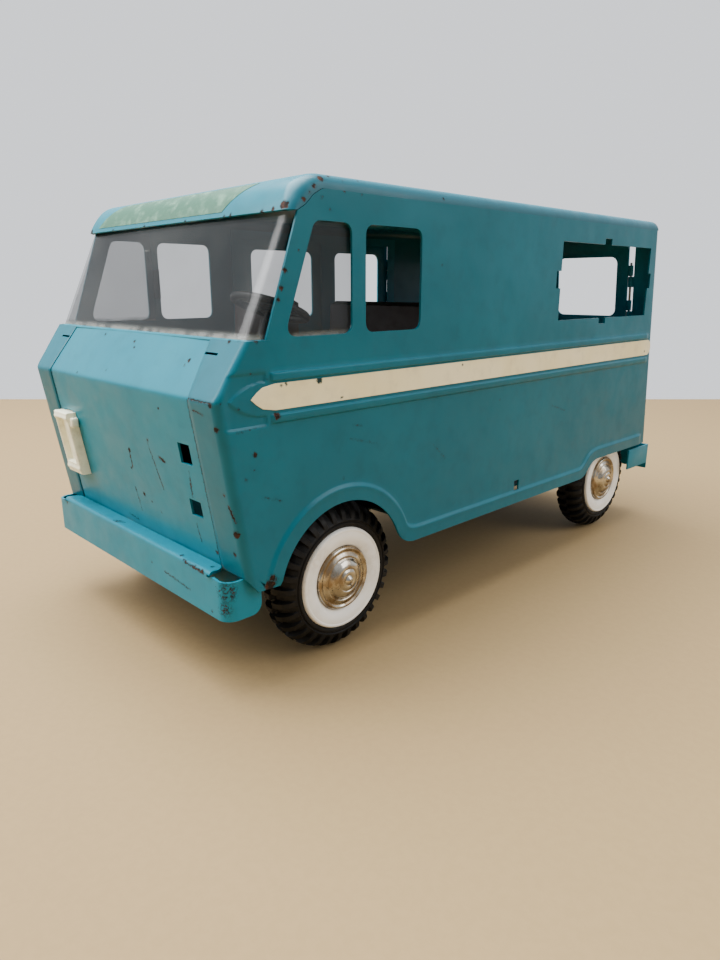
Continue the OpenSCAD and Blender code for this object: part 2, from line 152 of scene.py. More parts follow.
def station_grid(us: Sequence[float], vs: Sequence[float], place: Callable[[float, float], Vector]):
    """Makes a grid with a vertex at every pair of stations, and puts each where the surface is.

    Args:
        us: Stations along the first direction.
        vs: Stations along the second, which lies anticlockwise of the first seen from outside.
        place: Gives the frame point of a pair of stations.

    Returns:
        The new bmesh.
    """
    bm = bmesh.new()
    bmesh.ops.create_grid(bm, x_segments=len(us) - 1, y_segments=len(vs) - 1, size=1)
    for vert in bm.verts:
        i = round((vert.co.x + 1) / 2 * (len(us) - 1))
        j = round((vert.co.y + 1) / 2 * (len(vs) - 1))
        vert.co = place(us[i], vs[j])
    return bm


def prism_x(bm: bmesh.types.BMesh, outline: Sequence[Point2], x0: float, x1: float) -> None:
    """Adds a closed prism of an outline.

    Args:
        bm: Shape that it is added to.
        outline: Corners in Y and Z, in millimetres.
        x0: Where the prism starts.
        x1: Where it ends.
    """
    rim = bmesh.ops.create_circle(bm, cap_ends=True, radius=1, segments=len(outline))["verts"]
    for vert, (y, z) in zip(rim, outline):
        vert.co = at(x0, y, z)
    grown = bmesh.ops.extrude_face_region(bm, geom=rim[0].link_faces[:])["geom"]
    tops = [v for v in grown if isinstance(v, bmesh.types.BMVert)]
    bmesh.ops.translate(bm, verts=tops, vec=Vector(((x1 - x0) * MM, 0, 0)))
    bmesh.ops.recalc_face_normals(bm, faces=bm.faces[:])


def block(bm: bmesh.types.BMesh, low: Point3, high: Point3) -> None:
    """Adds a closed box.

    Args:
        bm: Shape that it is added to.
        low: Datum corner with the least X, Y and Z.
        high: Datum corner with the greatest.
    """
    corners = at(*low), at(*high)
    size = corners[1] - corners[0]
    matrix = Matrix.Translation((corners[0] + corners[1]) / 2) @ Matrix.Diagonal((*size, 1))
    bmesh.ops.create_cube(bm, size=1, matrix=matrix)


def thicken(bm: bmesh.types.BMesh, thickness: float) -> None:
    """Gives an open sheet its wall, on the inner side."""
    bm.normal_update()
    bmesh.ops.solidify(bm, geom=bm.faces[:], thickness=thickness * MM)


def thicken_along(bm: bmesh.types.BMesh, thickness: float, inward: Callable[[Vector], Vector]) -> None:
    """Gives an open sheet its wall, along a direction that depends on the place.

    Args:
        bm: Open sheet with its faces outwards.
        thickness: Thickness of the sheet in millimetres.
        inward: Gives the unit vector into the vehicle at a vertex.
    """
    grown = bmesh.ops.extrude_face_region(bm, geom=bm.faces[:])["geom"]
    for vert in (v for v in grown if isinstance(v, bmesh.types.BMVert)):
        vert.co += inward(vert.co) * (thickness * MM)
    bmesh.ops.recalc_face_normals(bm, faces=bm.faces[:])


def weld(bm: bmesh.types.BMesh) -> None:
    """Merges the vertices that lie on one another."""
    bmesh.ops.remove_doubles(bm, verts=bm.verts[:], dist=MERGE)


def join(bm: bmesh.types.BMesh, extra: bmesh.types.BMesh) -> None:
    """Adds a second shape to the first.

    Args:
        bm: Shape that grows.
        extra: Shape that is added; it is freed.
    """
    mesh = bpy.data.meshes.new("joined")
    extra.to_mesh(mesh)
    extra.free()
    bm.from_mesh(mesh)
    bpy.data.meshes.remove(mesh)


def carve(bm: bmesh.types.BMesh, tools: bmesh.types.BMesh) -> bmesh.types.BMesh:
    """Cuts closed tool shapes out of a closed shape.

    Args:
        bm: Shape that is cut; it is freed.
        tools: Shapes that are taken away; they are freed.

    Returns:
        The cut shape.
    """
    objects = []
    for name, shape in (("carve_base", bm), ("carve_tool", tools)):
        mesh = bpy.data.meshes.new(name)
        shape.to_mesh(mesh)
        shape.free()
        objects.append(bpy.data.objects.new(name, mesh))
        bpy.context.scene.collection.objects.link(objects[-1])
    cut = objects[0].modifiers.new("cut", "BOOLEAN")
    cut.operation = "DIFFERENCE"
    cut.solver = "EXACT"
    cut.object = objects[1]
    bpy.context.view_layer.update()
    evaluated = objects[0].evaluated_get(bpy.context.evaluated_depsgraph_get())
    made = bmesh.new()
    made.from_mesh(evaluated.to_mesh())
    evaluated.to_mesh_clear()
    for obj in objects:
        mesh = obj.data
        bpy.data.objects.remove(obj)
        bpy.data.meshes.remove(mesh)
    return made


def flip_x(bm: bmesh.types.BMesh) -> None:
    """Mirrors a shape to the other side of the vehicle and keeps its faces outwards."""
    bmesh.ops.scale(bm, vec=Vector((-1, 1, 1)), verts=bm.verts[:])
    bmesh.ops.reverse_faces(bm, faces=bm.faces[:])


def refined_copy(node: str, bevel: float, segments: int = 2) -> bmesh.types.BMesh:
    """Copies a CAD node, merges its loose triangles and rounds its sharp edges.

    Args:
        node: Name of the CAD node.
        bevel: Width of the rounding in millimetres.
        segments: Straight pieces across the rounding.

    Returns:
        The refined shape.
    """
    bm = bmesh.new()
    bm.from_mesh(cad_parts[node].data)
    weld(bm)
    bmesh.ops.dissolve_limit(bm, angle_limit=math.radians(1), verts=bm.verts[:], edges=bm.edges[:])
    sharp = [e for e in bm.edges if e.is_manifold and e.calc_face_angle(0) > math.radians(30)]
    bmesh.ops.bevel(
        bm, geom=sharp, offset=bevel * MM, offset_type="OFFSET", segments=segments, profile=0.5,
        affect="EDGES", clamp_overlap=True, material=-1,
    )
    return bm


def show(bm: bmesh.types.BMesh, name: str, finish: bpy.types.Material, body: str, slot: str,
         replaces: Sequence[str] = (), sharp: float = SHARP_ANGLE) -> bpy.types.Object:
    """Makes the finished piece of a shape and puts it on its body.

    Args:
        bm: Shape of the piece; it is freed.
        name: Name of the piece.
        finish: Its material.
        body: CAD body that it rides on.
        slot: Name of a slot of the record; it is not used.
        replaces: CAD nodes that it stands for.
        sharp: Edges that turn by more than this stay sharp.

    Returns:
        The new object.
    """
    mesh = bpy.data.meshes.new(name)
    bm.to_mesh(mesh)
    bm.free()
    mesh.shade_smooth()
    mesh.set_sharp_from_angle(angle=sharp)
    mesh.materials.append(finish)
    obj = bpy.data.objects.new(name, mesh)
    bpy.context.scene.collection.objects.link(obj)
    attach(obj, body)
    if replaces:
        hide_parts(*replaces)
    LOG.info("%s rides on %s with %d faces", name, body, len(mesh.polygons))
    return obj


# ---------------------------------------------------------------- node helpers


def linear(code: str) -> tuple[float, float, float, float]:
    """Returns the linear colour of an sRGB hex code such as #1A8088."""
    parts = [int(code[i:i + 2], 16) / 255 for i in (1, 3, 5)]
    return (*[c / 12.92 if c <= 0.04045 else ((c + 0.055) / 1.055) ** 2.4 for c in parts], 1.0)


def add(tree: bpy.types.NodeTree, kind: str, inputs: dict[int | str, Value] | None = None,
        **settings: object) -> bpy.types.Node:
    """Adds a node.

    Args:
        tree: Tree that gets the node.
        kind: Type of the node.
        inputs: Value or socket for each named or numbered input.
        settings: Properties of the node.

    Returns:
        The new node.
    """
    made = tree.nodes.new(kind)
    for key, value in settings.items():
        setattr(made, key, value)
    for key, value in (inputs or {}).items():
        if isinstance(value, bpy.types.NodeSocket):
            tree.links.new(value, made.inputs[key])
        else:
            made.inputs[key].default_value = value
    return made


MIX_FACTOR, MIX_A, MIX_B, MIX_COLOUR = 0, 6, 7, 2


class Surface:
    """One material while it is built: its tree, its shader and the datum position in millimetres."""

    def __init__(self, name: str) -> None:
        """Starts an empty material.

        Args:
            name: Name of the material.
        """
        self.material = bpy.data.materials.new(name)
        self.material.use_nodes = True
        self.tree = self.material.node_tree
        self.shader = self.tree.nodes["Principled BSDF"]
        coords = add(self.tree, "ShaderNodeTexCoord").outputs["Object"]
        scaled = add(
            self.tree, "ShaderNodeVectorMath",
            {0: coords, 1: (1 / MM,) * 3, 2: (0, -DATUM_Y / MM, 0)}, operation="MULTIPLY_ADD",
        )
        self.place = scaled.outputs[0]

    def math(self, operation: str, a: Value, b: Value = 0.0, clamp: bool = False) -> bpy.types.NodeSocket:
        """Returns the result of a maths operation on a and b."""
        made = add(self.tree, "ShaderNodeMath", {0: a, 1: b}, operation=operation, use_clamp=clamp)
        return made.outputs[0]

    def span(self, value: Value, low: float, high: float, to_low: float, to_high: float):
        """Returns value mapped smoothly from low..high to to_low..to_high."""
        inputs = {"Value": value, 1: low, 2: high, 3: to_low, 4: to_high}
        return add(self.tree, "ShaderNodeMapRange", inputs, interpolation_type="SMOOTHSTEP").outputs[0]

    def noise(self, grain: float, detail: float = 3.0, where: Value | None = None) -> bpy.types.Node:
        """Returns a noise node whose blotches are about grain millimetres across."""
        inputs = {"Vector": where or self.place, "Scale": 1 / grain, "Detail": detail, "Roughness": 0.55}
        return add(self.tree, "ShaderNodeTexNoise", inputs)

    def blend(self, factor: Value, a: Value, b: Value) -> bpy.types.NodeSocket:
        """Mixes two colours.

        Args:
            factor: Share of the second colour.
            a: First colour.
            b: Second colour.

        Returns:
            The mixed colour.
        """
        inputs = {MIX_FACTOR: factor, MIX_A: a, MIX_B: b}
        made = add(self.tree, "ShaderNodeMix", inputs, data_type="RGBA")
        return made.outputs[MIX_COLOUR]

    def bump(self, height: Value, depth: float, under: Value | None = None) -> bpy.types.NodeSocket:
        """Adds a fine relief.

        Args:
            height: Height, from 0 to 1.
            depth: How deep it is, in millimetres.
            under: Normal of a coarser relief below it.

        Returns:
            The normal of both.
        """
        inputs = {"Height": height, "Distance": depth * MM, "Strength": 1.0}
        if under is not None:
            inputs["Normal"] = under
        return add(self.tree, "ShaderNodeBump", inputs).outputs[0]

    def finish(self, colour: Value, roughness: Value, normal: Value | None, **fixed: float):
        """Links the shader's inputs and sets its constant ones.

        Args:
            colour: Base colour.
            roughness: Roughness.
            normal: Normal, or None for the plain surface.
            fixed: Constant values, with the socket's name in lower case and underscores.

        Returns:
            The finished material.
        """
        inputs: dict[str, Value] = {"Base Color": colour, "Roughness": roughness}
        if normal is not None:
            inputs["Normal"] = normal
        for key, value in inputs.items():
            if isinstance(value, bpy.types.NodeSocket):
                self.tree.links.new(value, self.shader.inputs[key])
            else:
                self.shader.inputs[key].default_value = value
        for key, value in fixed.items():
            self.shader.inputs[key.replace("_", " ").title().replace("Ior", "IOR")].default_value = value
        return self.material


# ---------------------------------------------------------------- finishes


@dataclass(frozen=True)
class Chip:
    """A spot where the paint has come off: its centre and radius in millimetres."""

    centre: Point3
    radius: float


@dataclass(frozen=True)
class ScratchAndSeamShade:
    """A scored line, or painted seam shade, from start to end and its half width in millimetres."""

    start: Point3
    end: Point3
    half_width: float = 0.12


@dataclass(frozen=True)
class RustPatch:
    """A region with a network of rust cracks and pits: its centre and radius in millimetres."""

    centre: Point3
    radius: float


@dataclass(frozen=True)
class Marks:
    """All located wear of one painted panel, and any painted shade along its seams."""

    chips: tuple[Chip, ...] = ()
    # Scored lines, and on the side and nose also lines of painted shade along seams.
    scratches: tuple[ScratchAndSeamShade, ...] = ()
    patches: tuple[RustPatch, ...] = ()


@dataclass(frozen=True)
class StovingEnamel:
    """Stoving enamel sprayed on sheet steel: glossy, faintly rippled, chipped to rust at bends."""

    name: str
    colour: str
    faded: str
    marks: Marks = Marks()
    ripple_mm: float = 1.6
    dent_mm: float = 26.0
    patina_mm: float = 45.0
    speck_mm: float = 5.5
    rough_low: float = 0.30
    rough_high: float = 0.44
    rust_dark: str = "#1B1411"
    rust_warm: str = "#46281B"
    # Darker teal that the rounded side edges turn to past |x| 69.5: painted shade; empty for none.
    painted_flank_shade: str = ""

    def _nearest(self, s: Surface, ragged: bpy.types.NodeSocket) -> bpy.types.NodeSocket:
        """Measures the way to the nearest located mark.

        Args:
            s: Material that is being built.
            ragged: Place on the object, disturbed so that chips get ragged edges.

        Returns:
            The distance in millimetres, negative inside a mark.
        """
        least: Value = 99.0
        for chip in self.marks.chips:
            away = add(s.tree, "ShaderNodeVectorMath", {0: ragged, 1: chip.centre}, operation="DISTANCE")
            least = s.math("MINIMUM", least, s.math("SUBTRACT", away.outputs["Value"], chip.radius))
        for line in self.marks.scratches:
            start, along = Vector(line.start), Vector(line.end) - Vector(line.start)
            offset = add(s.tree, "ShaderNodeVectorMath", {0: ragged, 1: line.start}, operation="SUBTRACT")
            inputs = {0: offset.outputs[0], 1: tuple(along / along.length_squared)}
            share = add(s.tree, "ShaderNodeVectorMath", inputs, operation="DOT_PRODUCT")
            held = s.math("ADD", share.outputs["Value"], 0.0, clamp=True)
            foot = add(s.tree, "ShaderNodeVectorMath", {0: tuple(along), "Scale": held}, operation="SCALE")
            inputs = {0: offset.outputs[0], 1: foot.outputs[0]}
            away = add(s.tree, "ShaderNodeVectorMath", inputs, operation="DISTANCE")
            gap = s.math("SUBTRACT", away.outputs["Value"], line.half_width * 1.5 + 0.06)
            least = s.math("MINIMUM", least, gap)
        for patch in self.marks.patches:
            away = add(s.tree, "ShaderNodeVectorMath", {0: s.place, 1: patch.centre}, operation="DISTANCE")
            fade = s.span(away.outputs["Value"], patch.radius * 0.3, patch.radius, 0.0, 1.0)
            pits = s.noise(1.5, 6.0).outputs["Fac"]
            cracks = s.math("ABSOLUTE", s.math("SUBTRACT", pits, 0.5))
            reach = s.math("SUBTRACT", s.math("MULTIPLY", cracks, 6.0), 0.16)
            least = s.math("MINIMUM", least, s.math("ADD", reach, fade))
        return least

    def build(self) -> bpy.types.Material:
        """Builds the finish: ripple, dents, patina, specks, located wear, painted seam and flank shade.

        Returns:
            The material.
        """
        s = Surface(self.name)
        patina = s.noise(self.patina_mm, 4.0).outputs["Fac"]
        mottle = s.noise(7.0, 5.0).outputs["Fac"]
        colour = s.blend(s.span(patina, 0.35, 0.7, 0.0, 0.8), linear(self.colour), linear(self.faded))
        # Painted shade: past |x| 69.5 the colour turns to the darker flank teal.
        if self.painted_flank_shade:
            out = s.math("ABSOLUTE", add(s.tree, "ShaderNodeSeparateXYZ", {0: s.place}).outputs["X"])
            colour = s.blend(s.span(out, 69.5, 74.0, 0.0, 1.0), colour, linear(self.painted_flank_shade))
        grime = s.span(mottle, 0.45, 0.75, 0.0, 0.12)
        colour = s.blend(grime, colour, linear("#0A2A30"))
        drift = s.noise(1.1, 2.0).outputs["Color"]
        ragged = add(
            s.tree, "ShaderNodeVectorMath", {0: drift, 1: (1.7,) * 3, 2: s.place}, operation="MULTIPLY_ADD",
        ).outputs[0]
        ragged = add(
            s.tree, "ShaderNodeVectorMath", {0: ragged, 1: (0.85,) * 3}, operation="SUBTRACT",
        ).outputs[0]
        edge = self._nearest(s, ragged)
        bare = s.span(edge, -0.12, 0.08, 1.0, 0.0)
        halo = s.span(edge, 0.0, 0.55, 0.55, 0.0)
        cells = add(
            s.tree, "ShaderNodeTexVoronoi",
            {"Vector": s.place, "Scale": 1 / self.speck_mm, "Randomness": 1.0},
        )
        picked = s.math("GREATER_THAN", cells.outputs["Color"], 0.86)
        speck = s.math("MULTIPLY", s.span(cells.outputs["Distance"], 0.015, 0.05, 1.0, 0.0), picked)
        rust = s.blend(s.span(s.noise(1.6, 5.0).outputs["Fac"], 0.46, 0.66, 0.0, 1.0),
                       linear(self.rust_dark), linear(self.rust_warm))
        colour = s.blend(halo, colour, linear("#0C343A"))
        colour = s.blend(s.math("MULTIPLY", speck, 0.75), colour, linear("#0C1516"))
        colour = s.blend(bare, colour, rust)
        rough = s.span(s.noise(11.0, 4.0).outputs["Fac"], 0.3, 0.7, self.rough_low, self.rough_high)
        rough = s.math("MAXIMUM", rough, s.math("MULTIPLY", bare, 0.85))
        dents = s.bump(s.noise(self.dent_mm, 2.0).outputs["Fac"], 0.55)
        ripple = s.bump(s.noise(self.ripple_mm, 2.0).outputs["Fac"], 0.010, dents)
        normal = s.bump(s.math("MULTIPLY", bare, -1.0), 0.12, ripple)
        return s.finish(colour, rough, normal, coat_weight=0.05, coat_roughness=0.08, ior=1.3)


@dataclass(frozen=True)
class MouldedPlastic:
    """Injection-moulded plastic: even colour, a faint grain, handling dirt and fine scuffs."""

    name: str
    colour: str
    dirt: str
    dirt_share: float = 0.25
    dirt_mm: float = 12.0
    grain_mm: float = 0.9
    grain_depth: float = 0.012
    rough_low: float = 0.35
    rough_high: float = 0.55

    def build(self) -> bpy.types.Material:
        """Builds the finish.

        Returns:
            The material.
        """
        s = Surface(self.name)
        blotch = s.noise(self.dirt_mm, 6.0).outputs["Fac"]
        fine = s.noise(self.dirt_mm / 6, 3.0).outputs["Fac"]
        share = s.math("MULTIPLY", s.span(blotch, 0.42, 0.75, 0.0, 1.0), s.span(fine, 0.3, 0.6, 0.3, 1.0))
        dirt = s.math("MULTIPLY", share, self.dirt_share * 2)
        colour = s.blend(dirt, linear(self.colour), linear(self.dirt))
        rough = s.span(fine, 0.3, 0.7, self.rough_low, self.rough_high)
        normal = s.bump(s.noise(self.grain_mm, 3.0).outputs["Fac"], self.grain_depth)
        return s.finish(colour, rough, normal, ior=1.49)


@dataclass(frozen=True)
class TyreRubber:
    """Moulded black rubber: matt, with dust caught in the tread."""

    name: str = "moulded_black_rubber"
    colour: str = "#040404"
    dust: str = "#1C1A17"

    def build(self) -> bpy.types.Material:
        """Builds the finish.

        Returns:
            The material.
        """
        s = Surface(self.name)
        dusty = s.span(s.noise(9.0, 6.0).outputs["Fac"], 0.5, 0.8, 0.0, 0.30)
        colour = s.blend(dusty, linear(self.colour), linear(self.dust))
        rough = s.span(s.noise(3.0, 3.0).outputs["Fac"], 0.3, 0.7, 0.52, 0.72)
        normal = s.bump(s.noise(0.7, 3.0).outputs["Fac"], 0.02)
        return s.finish(colour, rough, normal, specular_ior_level=0.3)


@dataclass(frozen=True)
class TarnishedPlate:
    """Bright nickel plate gone brown in rings and spots, with fine pitting."""

    name: str = "tarnished_bright_plate"
    bright: str = "#C9C5BA"
    brown: str = "#857258"
    spot: str = "#3B3128"

    def build(self) -> bpy.types.Material:
        """Builds the finish.

        Returns:
            The material.
        """
        s = Surface(self.name)
        film = s.span(s.noise(7.0, 5.0).outputs["Fac"], 0.35, 0.62, 0.15, 0.95)
        colour = s.blend(film, linear(self.bright), linear(self.brown))
        spots = s.span(s.noise(1.3, 4.0).outputs["Fac"], 0.62, 0.70, 0.0, 0.8)
        colour = s.blend(spots, colour, linear(self.spot))
        rough = s.math("ADD", s.span(film, 0.1, 0.9, 0.12, 0.30), s.math("MULTIPLY", spots, 0.35))
        normal = s.bump(s.noise(0.9, 3.0).outputs["Fac"], 0.012)
        return s.finish(colour, rough, normal, metallic=1.0)


@dataclass(frozen=True)
class BareSteel:
    """Drawn steel wire and strip, dull grey with light rust."""

    name: str = "drawn_bare_steel"
    colour: str = "#8E8E8C"
    rust: str = "#5A3F2E"

    def build(self) -> bpy.types.Material:
        """Builds the finish.

        Returns:
            The material.
        """
        s = Surface(self.name)
        rusty = s.span(s.noise(6.0, 6.0).outputs["Fac"], 0.52, 0.72, 0.0, 0.7)
        colour = s.blend(rusty, linear(self.colour), linear(self.rust))
        rough = s.span(rusty, 0.0, 0.7, 0.32, 0.65)
        normal = s.bump(s.noise(0.8, 3.0).outputs["Fac"], 0.02)
        return s.finish(colour, rough, normal, metallic=1.0)


@dataclass(frozen=True)
class SmokyAcetate:
    """Vacuum-formed clear acetate, gone smoky: hazed by fine scratches and dirty along its base."""

    name: str = "smoky_clear_acetate"
    tint: str = "#202426"
    haze: str = "#8E9088"
    clear_alpha: float = 0.28
    base_z: float = 125.6

    def build(self) -> bpy.types.Material:
        """Builds the finish.

        Returns:
            The material.
        """
        s = Surface(self.name)
        parts = add(s.tree, "ShaderNodeSeparateXYZ", {0: s.place})
        cloud = s.noise(34.0, 4.0).outputs["Fac"]
        base = s.span(s.math("SUBTRACT", parts.outputs["Z"], self.base_z), 0.0, 2.6, 1.0, 0.0)
        stretched = add(s.tree, "ShaderNodeMapping", {"Vector": s.place, "Rotation": (0.3, 0.5, 0.2),
                                                      "Scale": (0.06, 0.9, 0.9)}).outputs[0]
        lines = s.noise(1.0, 1.0, stretched).outputs["Fac"]
        scuffs = s.math("MULTIPLY", s.span(lines, 0.76, 0.79, 0.0, 0.6), s.span(cloud, 0.45, 0.6, 0.0, 1.0))
        specks = s.span(s.noise(2.4, 2.0).outputs["Fac"], 0.76, 0.80, 0.0, 0.5)
        dirt = s.math("MULTIPLY", base, s.span(s.noise(5.0, 4.0).outputs["Fac"], 0.3, 0.6, 0.35, 0.9))
        shade = s.math("MAXIMUM", s.math("MAXIMUM", scuffs, specks), dirt)
        haze = s.math("MAXIMUM", shade, s.span(cloud, 0.35, 0.75, 0.0, 0.12))
        colour = s.blend(haze, linear(self.tint), linear(self.haze))
        alpha = s.math("ADD", s.math("MULTIPLY", haze, 0.45), self.clear_alpha, clamp=True)
        s.tree.links.new(alpha, s.shader.inputs["Alpha"])
        rough = s.span(haze, 0.1, 0.9, 0.06, 0.35)
        normal = s.bump(s.noise(40.0, 1.0).outputs["Fac"], 0.2)
        return s.finish(colour, rough, normal, ior=1.48, coat_weight=0.6, coat_roughness=0.05)


@dataclass(frozen=True)
class WornLabel:
    """Printed paper label under lacquer, plain green, rubbed at its edges."""

    name: str = "plain_green_label"
    colour: str = "#27644A"
    rubbed: str = "#6E9C82"

    def build(self) -> bpy.types.Material:
        """Builds the finish.

        Returns:
            The material.
        """
        s = Surface(self.name)
        wear = s.span(s.noise(5.0, 6.0).outputs["Fac"], 0.45, 0.75, 0.0, 0.6)
        colour = s.blend(wear, linear(self.colour), linear(self.rubbed))
        fine = s.span(s.noise(0.9, 4.0).outputs["Fac"], 0.62, 0.70, 0.0, 0.6)
        colour = s.blend(fine, colour, linear("#2C5A4C"))
        rough = s.span(wear, 0.0, 0.6, 0.38, 0.55)
        normal = s.bump(s.noise(1.5, 3.0).outputs["Fac"], 0.02)
        return s.finish(colour, rough, normal, ior=1.5)


@dataclass(frozen=True)
class StudioFloor:
    """Plain pale card that the toy stands on."""

    name: str = "pale_card"
    colour: str = "#957C53"

    def build(self) -> bpy.types.Material:
        """Builds the finish.

        Returns:
            The material.
        """
        s = Surface(self.name)
        fibre = s.span(s.noise(3.0, 5.0).outputs["Fac"], 0.35, 0.65, 0.0, 0.25)
        colour = s.blend(fibre, linear(self.colour), linear("#887049"))
        return s.finish(colour, 0.8, None)


def side_marks() -> Marks:
    """Lists the wear of the left side panel and the painted shade in the fold seam of its corner.

    Returns:
        The marks.
    """
    x = 74.6
    spots = (
        (-23.4, 100.7, 1.2), (1.5, 166.0, 0.45), (-32.4, 88.9, 0.9), (-19.7, 141.3, 0.8),
        (-21.0, 137.7, 0.7), (-17.9, 146.8, 0.8), (-12.0, 153.0, 0.4), (-32.7, 83.9, 0.4),
        (-36.3, 81.3, 0.5), (-28.5, 41.5, 2.0), (-27.6, 44.5, 1.2), (-33.0, 115.0, 0.5),
        (7.0, 73.6, 0.4), (47.6, 36.9, 0.5), (104.2, 91.9, 0.4), (-38.0, 104.5, 0.4), (8.0, 172.5, 0.6),
        (16.1, 172.0, 0.5), (-2.0, 169.5, 0.5), (60.0, 150.0, 0.3),
    )
    lines = (
        ScratchAndSeamShade((x, -39.0, 97.0), (x, -28.0, 98.2), 0.10),
        ScratchAndSeamShade((x, -36.0, 113.5), (x, -26.0, 112.9), 0.08),
        ScratchAndSeamShade((x, 10.0, 88.0), (x, 24.0, 84.0), 0.10),
        ScratchAndSeamShade((x, 58.0, 78.0), (x, 66.0, 71.0), 0.10),
        ScratchAndSeamShade((x, 12.0, 93.0), (x, 16.0, 92.0), 0.18),
        ScratchAndSeamShade((x, 150.0, 84.0), (x, 163.0, 80.0), 0.09),
        ScratchAndSeamShade((x, -30.0, 74.0), (x, -22.0, 71.0), 0.10),
    )
    corner = (
        Chip((74.0, -45.6, 102.9), 0.6), Chip((71.0, -46.3, 106.3), 0.9), Chip((71.8, -45.2, 98.6), 0.9),
        Chip((70.5, -46.0, 96.0), 0.5), Chip((72.0, -39.8, 62.4), 1.3), Chip((69.0, -38.6, 54.3), 0.8),
        Chip((69.5, -42.0, 76.0), 0.5), Chip((65.4, -34.2, 125.0), 0.8), Chip((70.0, -33.0, 125.0), 0.9),
        Chip((73.6, -30.0, 125.2), 0.8),
    )
    scores_and_fold_seam_shade = (
        ScratchAndSeamShade((71.0, -41.2, 72.1), (72.8, -40.4, 67.0), 0.28),
        ScratchAndSeamShade((60.0, -45.9, 103.6), (66.0, -45.9, 102.6), 0.10),
        # These two lines follow the fold seam at z 107: painted shade of the gap, drawn as bare rusty lines.
        ScratchAndSeamShade((58.2, -46.2, 107.0), (70.5, -46.3, 107.0), 0.16),
        ScratchAndSeamShade((70.5, -46.3, 107.0), (73.8, -44.2, 107.0), 0.12),
    )
    chips = tuple(Chip((x, y, z), r) for y, z, r in spots) + corner
    return Marks(chips, lines + scores_and_fold_seam_shade, (RustPatch((x, -27.5, 43.0), 4.5),))


def stripe_marks() -> Marks:
    """Lists the wear of the left stripe.

    Returns:
        The marks.
    """
    spots = (
        (-4.5, 110.9, 1.2), (-21.0, 110.6, 0.4), (-19.0, 110.9, 0.4), (6.0, 103.6, 0.35), (249.0, 105.0, 0.5),
        (75.0, 110.0, 0.3),
    )
    return Marks(tuple(Chip((74.4, y, z), r) for y, z, r in spots))


def nose_marks() -> Marks:
    """Lists the wear of the bonnet and nose and the painted shade in the seams beside them.

    Returns:
        The marks.
    """
    spots = (
        (4.8, -42.5, 80.6, 0.9), (2.6, -41.4, 72.8, 0.6), (8.8, -39.9, 63.1, 0.8),
        (14.0, -39.5, 61.0, 0.5), (22.4, -43.7, 87.5, 0.6), (4.2, -36.3, 121.9, 0.6),
        (6.5, -37.7, 119.9, 0.5), (-22.5, -35.2, 123.2, 0.5), (56.3, -38.3, 51.3, 0.9),
        (36.0, -45.4, 101.0, 0.5), (-6.0, -44.0, 111.0, 0.4), (47.3, -38.9, 118.1, 0.8),
        (46.0, -40.0, 116.4, 0.4), (50.0, -39.4, 118.6, 0.4), (-30.0, -45.5, 108.0, 0.5),
        (20.0, -39.2, 58.0, 0.4),
    )
    lines = (
        ScratchAndSeamShade((48.5, -41.6, 82.0), (47.2, -41.0, 70.2), 0.16),
        ScratchAndSeamShade((21.5, -43.5, 87.0), (26.4, -40.8, 69.0), 0.14),
        ScratchAndSeamShade((28.5, -42.7, 81.8), (32.0, -42.4, 80.8), 0.35),
        ScratchAndSeamShade((2.0, -40.2, 64.6), (3.3, -38.7, 54.9), 0.13),
        ScratchAndSeamShade((4.4, -42.4, 80.0), (4.0, -41.4, 73.5), 0.22),
        ScratchAndSeamShade((46.0, -38.6, 60.0), (47.0, -37.9, 53.0), 0.12),
        ScratchAndSeamShade((-10.0, -38.0, 50.0), (-2.0, -37.9, 49.4), 0.10),
        # Dark lines along the seams beside the front panel: painted shade of the gap, drawn as bare rusty
        # lines.
        ScratchAndSeamShade((56.7, -45.8, 106.6), (57.5, -36.9, 46.5), 0.08),
        ScratchAndSeamShade((-56.7, -45.8, 106.6), (-57.5, -36.9, 46.5), 0.08),
    )
    return Marks(tuple(Chip((x, y, z), r) for x, y, z, r in spots), lines)


def visor_marks() -> Marks:
    """Lists the wear of the roof and visor.

    Returns:
        The marks.
    """
    spots = (
        (71.0, -15.0, 166.5, 1.5), (74.0, -9.5, 168.4, 0.6), (73.6, -7.0, 170.5, 0.6),
        (74.0, -5.0, 173.0, 0.8), (73.0, -1.5, 175.3, 1.1), (72.0, 3.0, 177.0, 0.8),
        (73.5, 8.3, 175.8, 0.5), (72.5, 16.0, 176.6, 0.4), (60.0, -15.8, 165.4, 0.7),
        (42.0, -15.8, 165.4, 0.6), (38.0, -15.8, 165.3, 0.5), (12.0, -15.8, 165.3, 0.6),
        (-20.0, -15.8, 165.3, 0.6), (-48.0, -15.8, 165.3, 0.5), (-70.0, -15.4, 165.6, 0.9),
        (66.0, -15.6, 165.6, 0.8), (71.5, 250.0, 175.5, 1.5), (-71.5, 250.0, 175.0, 1.3),
        (73.8, 60.0, 174.0, 0.5), (20.0, 120.0, 177.4, 0.6), (-35.0, 60.0, 177.4, 0.6),
        (-40.0, 190.0, 177.4, 0.8), (35.0, 210.0, 177.4, 0.5),
    )
    lines = (
        ScratchAndSeamShade((-50.0, 40.0, 177.4), (-18.0, 70.0, 177.4), 0.12),
        ScratchAndSeamShade((25.0, 140.0, 177.4), (60.0, 155.0, 177.4), 0.10),
        ScratchAndSeamShade((-20.0, 180.0, 177.4), (-26.0, 215.0, 177.4), 0.12),
    )
    return Marks(tuple(Chip((x, y, z), r) for x, y, z, r in spots), lines)


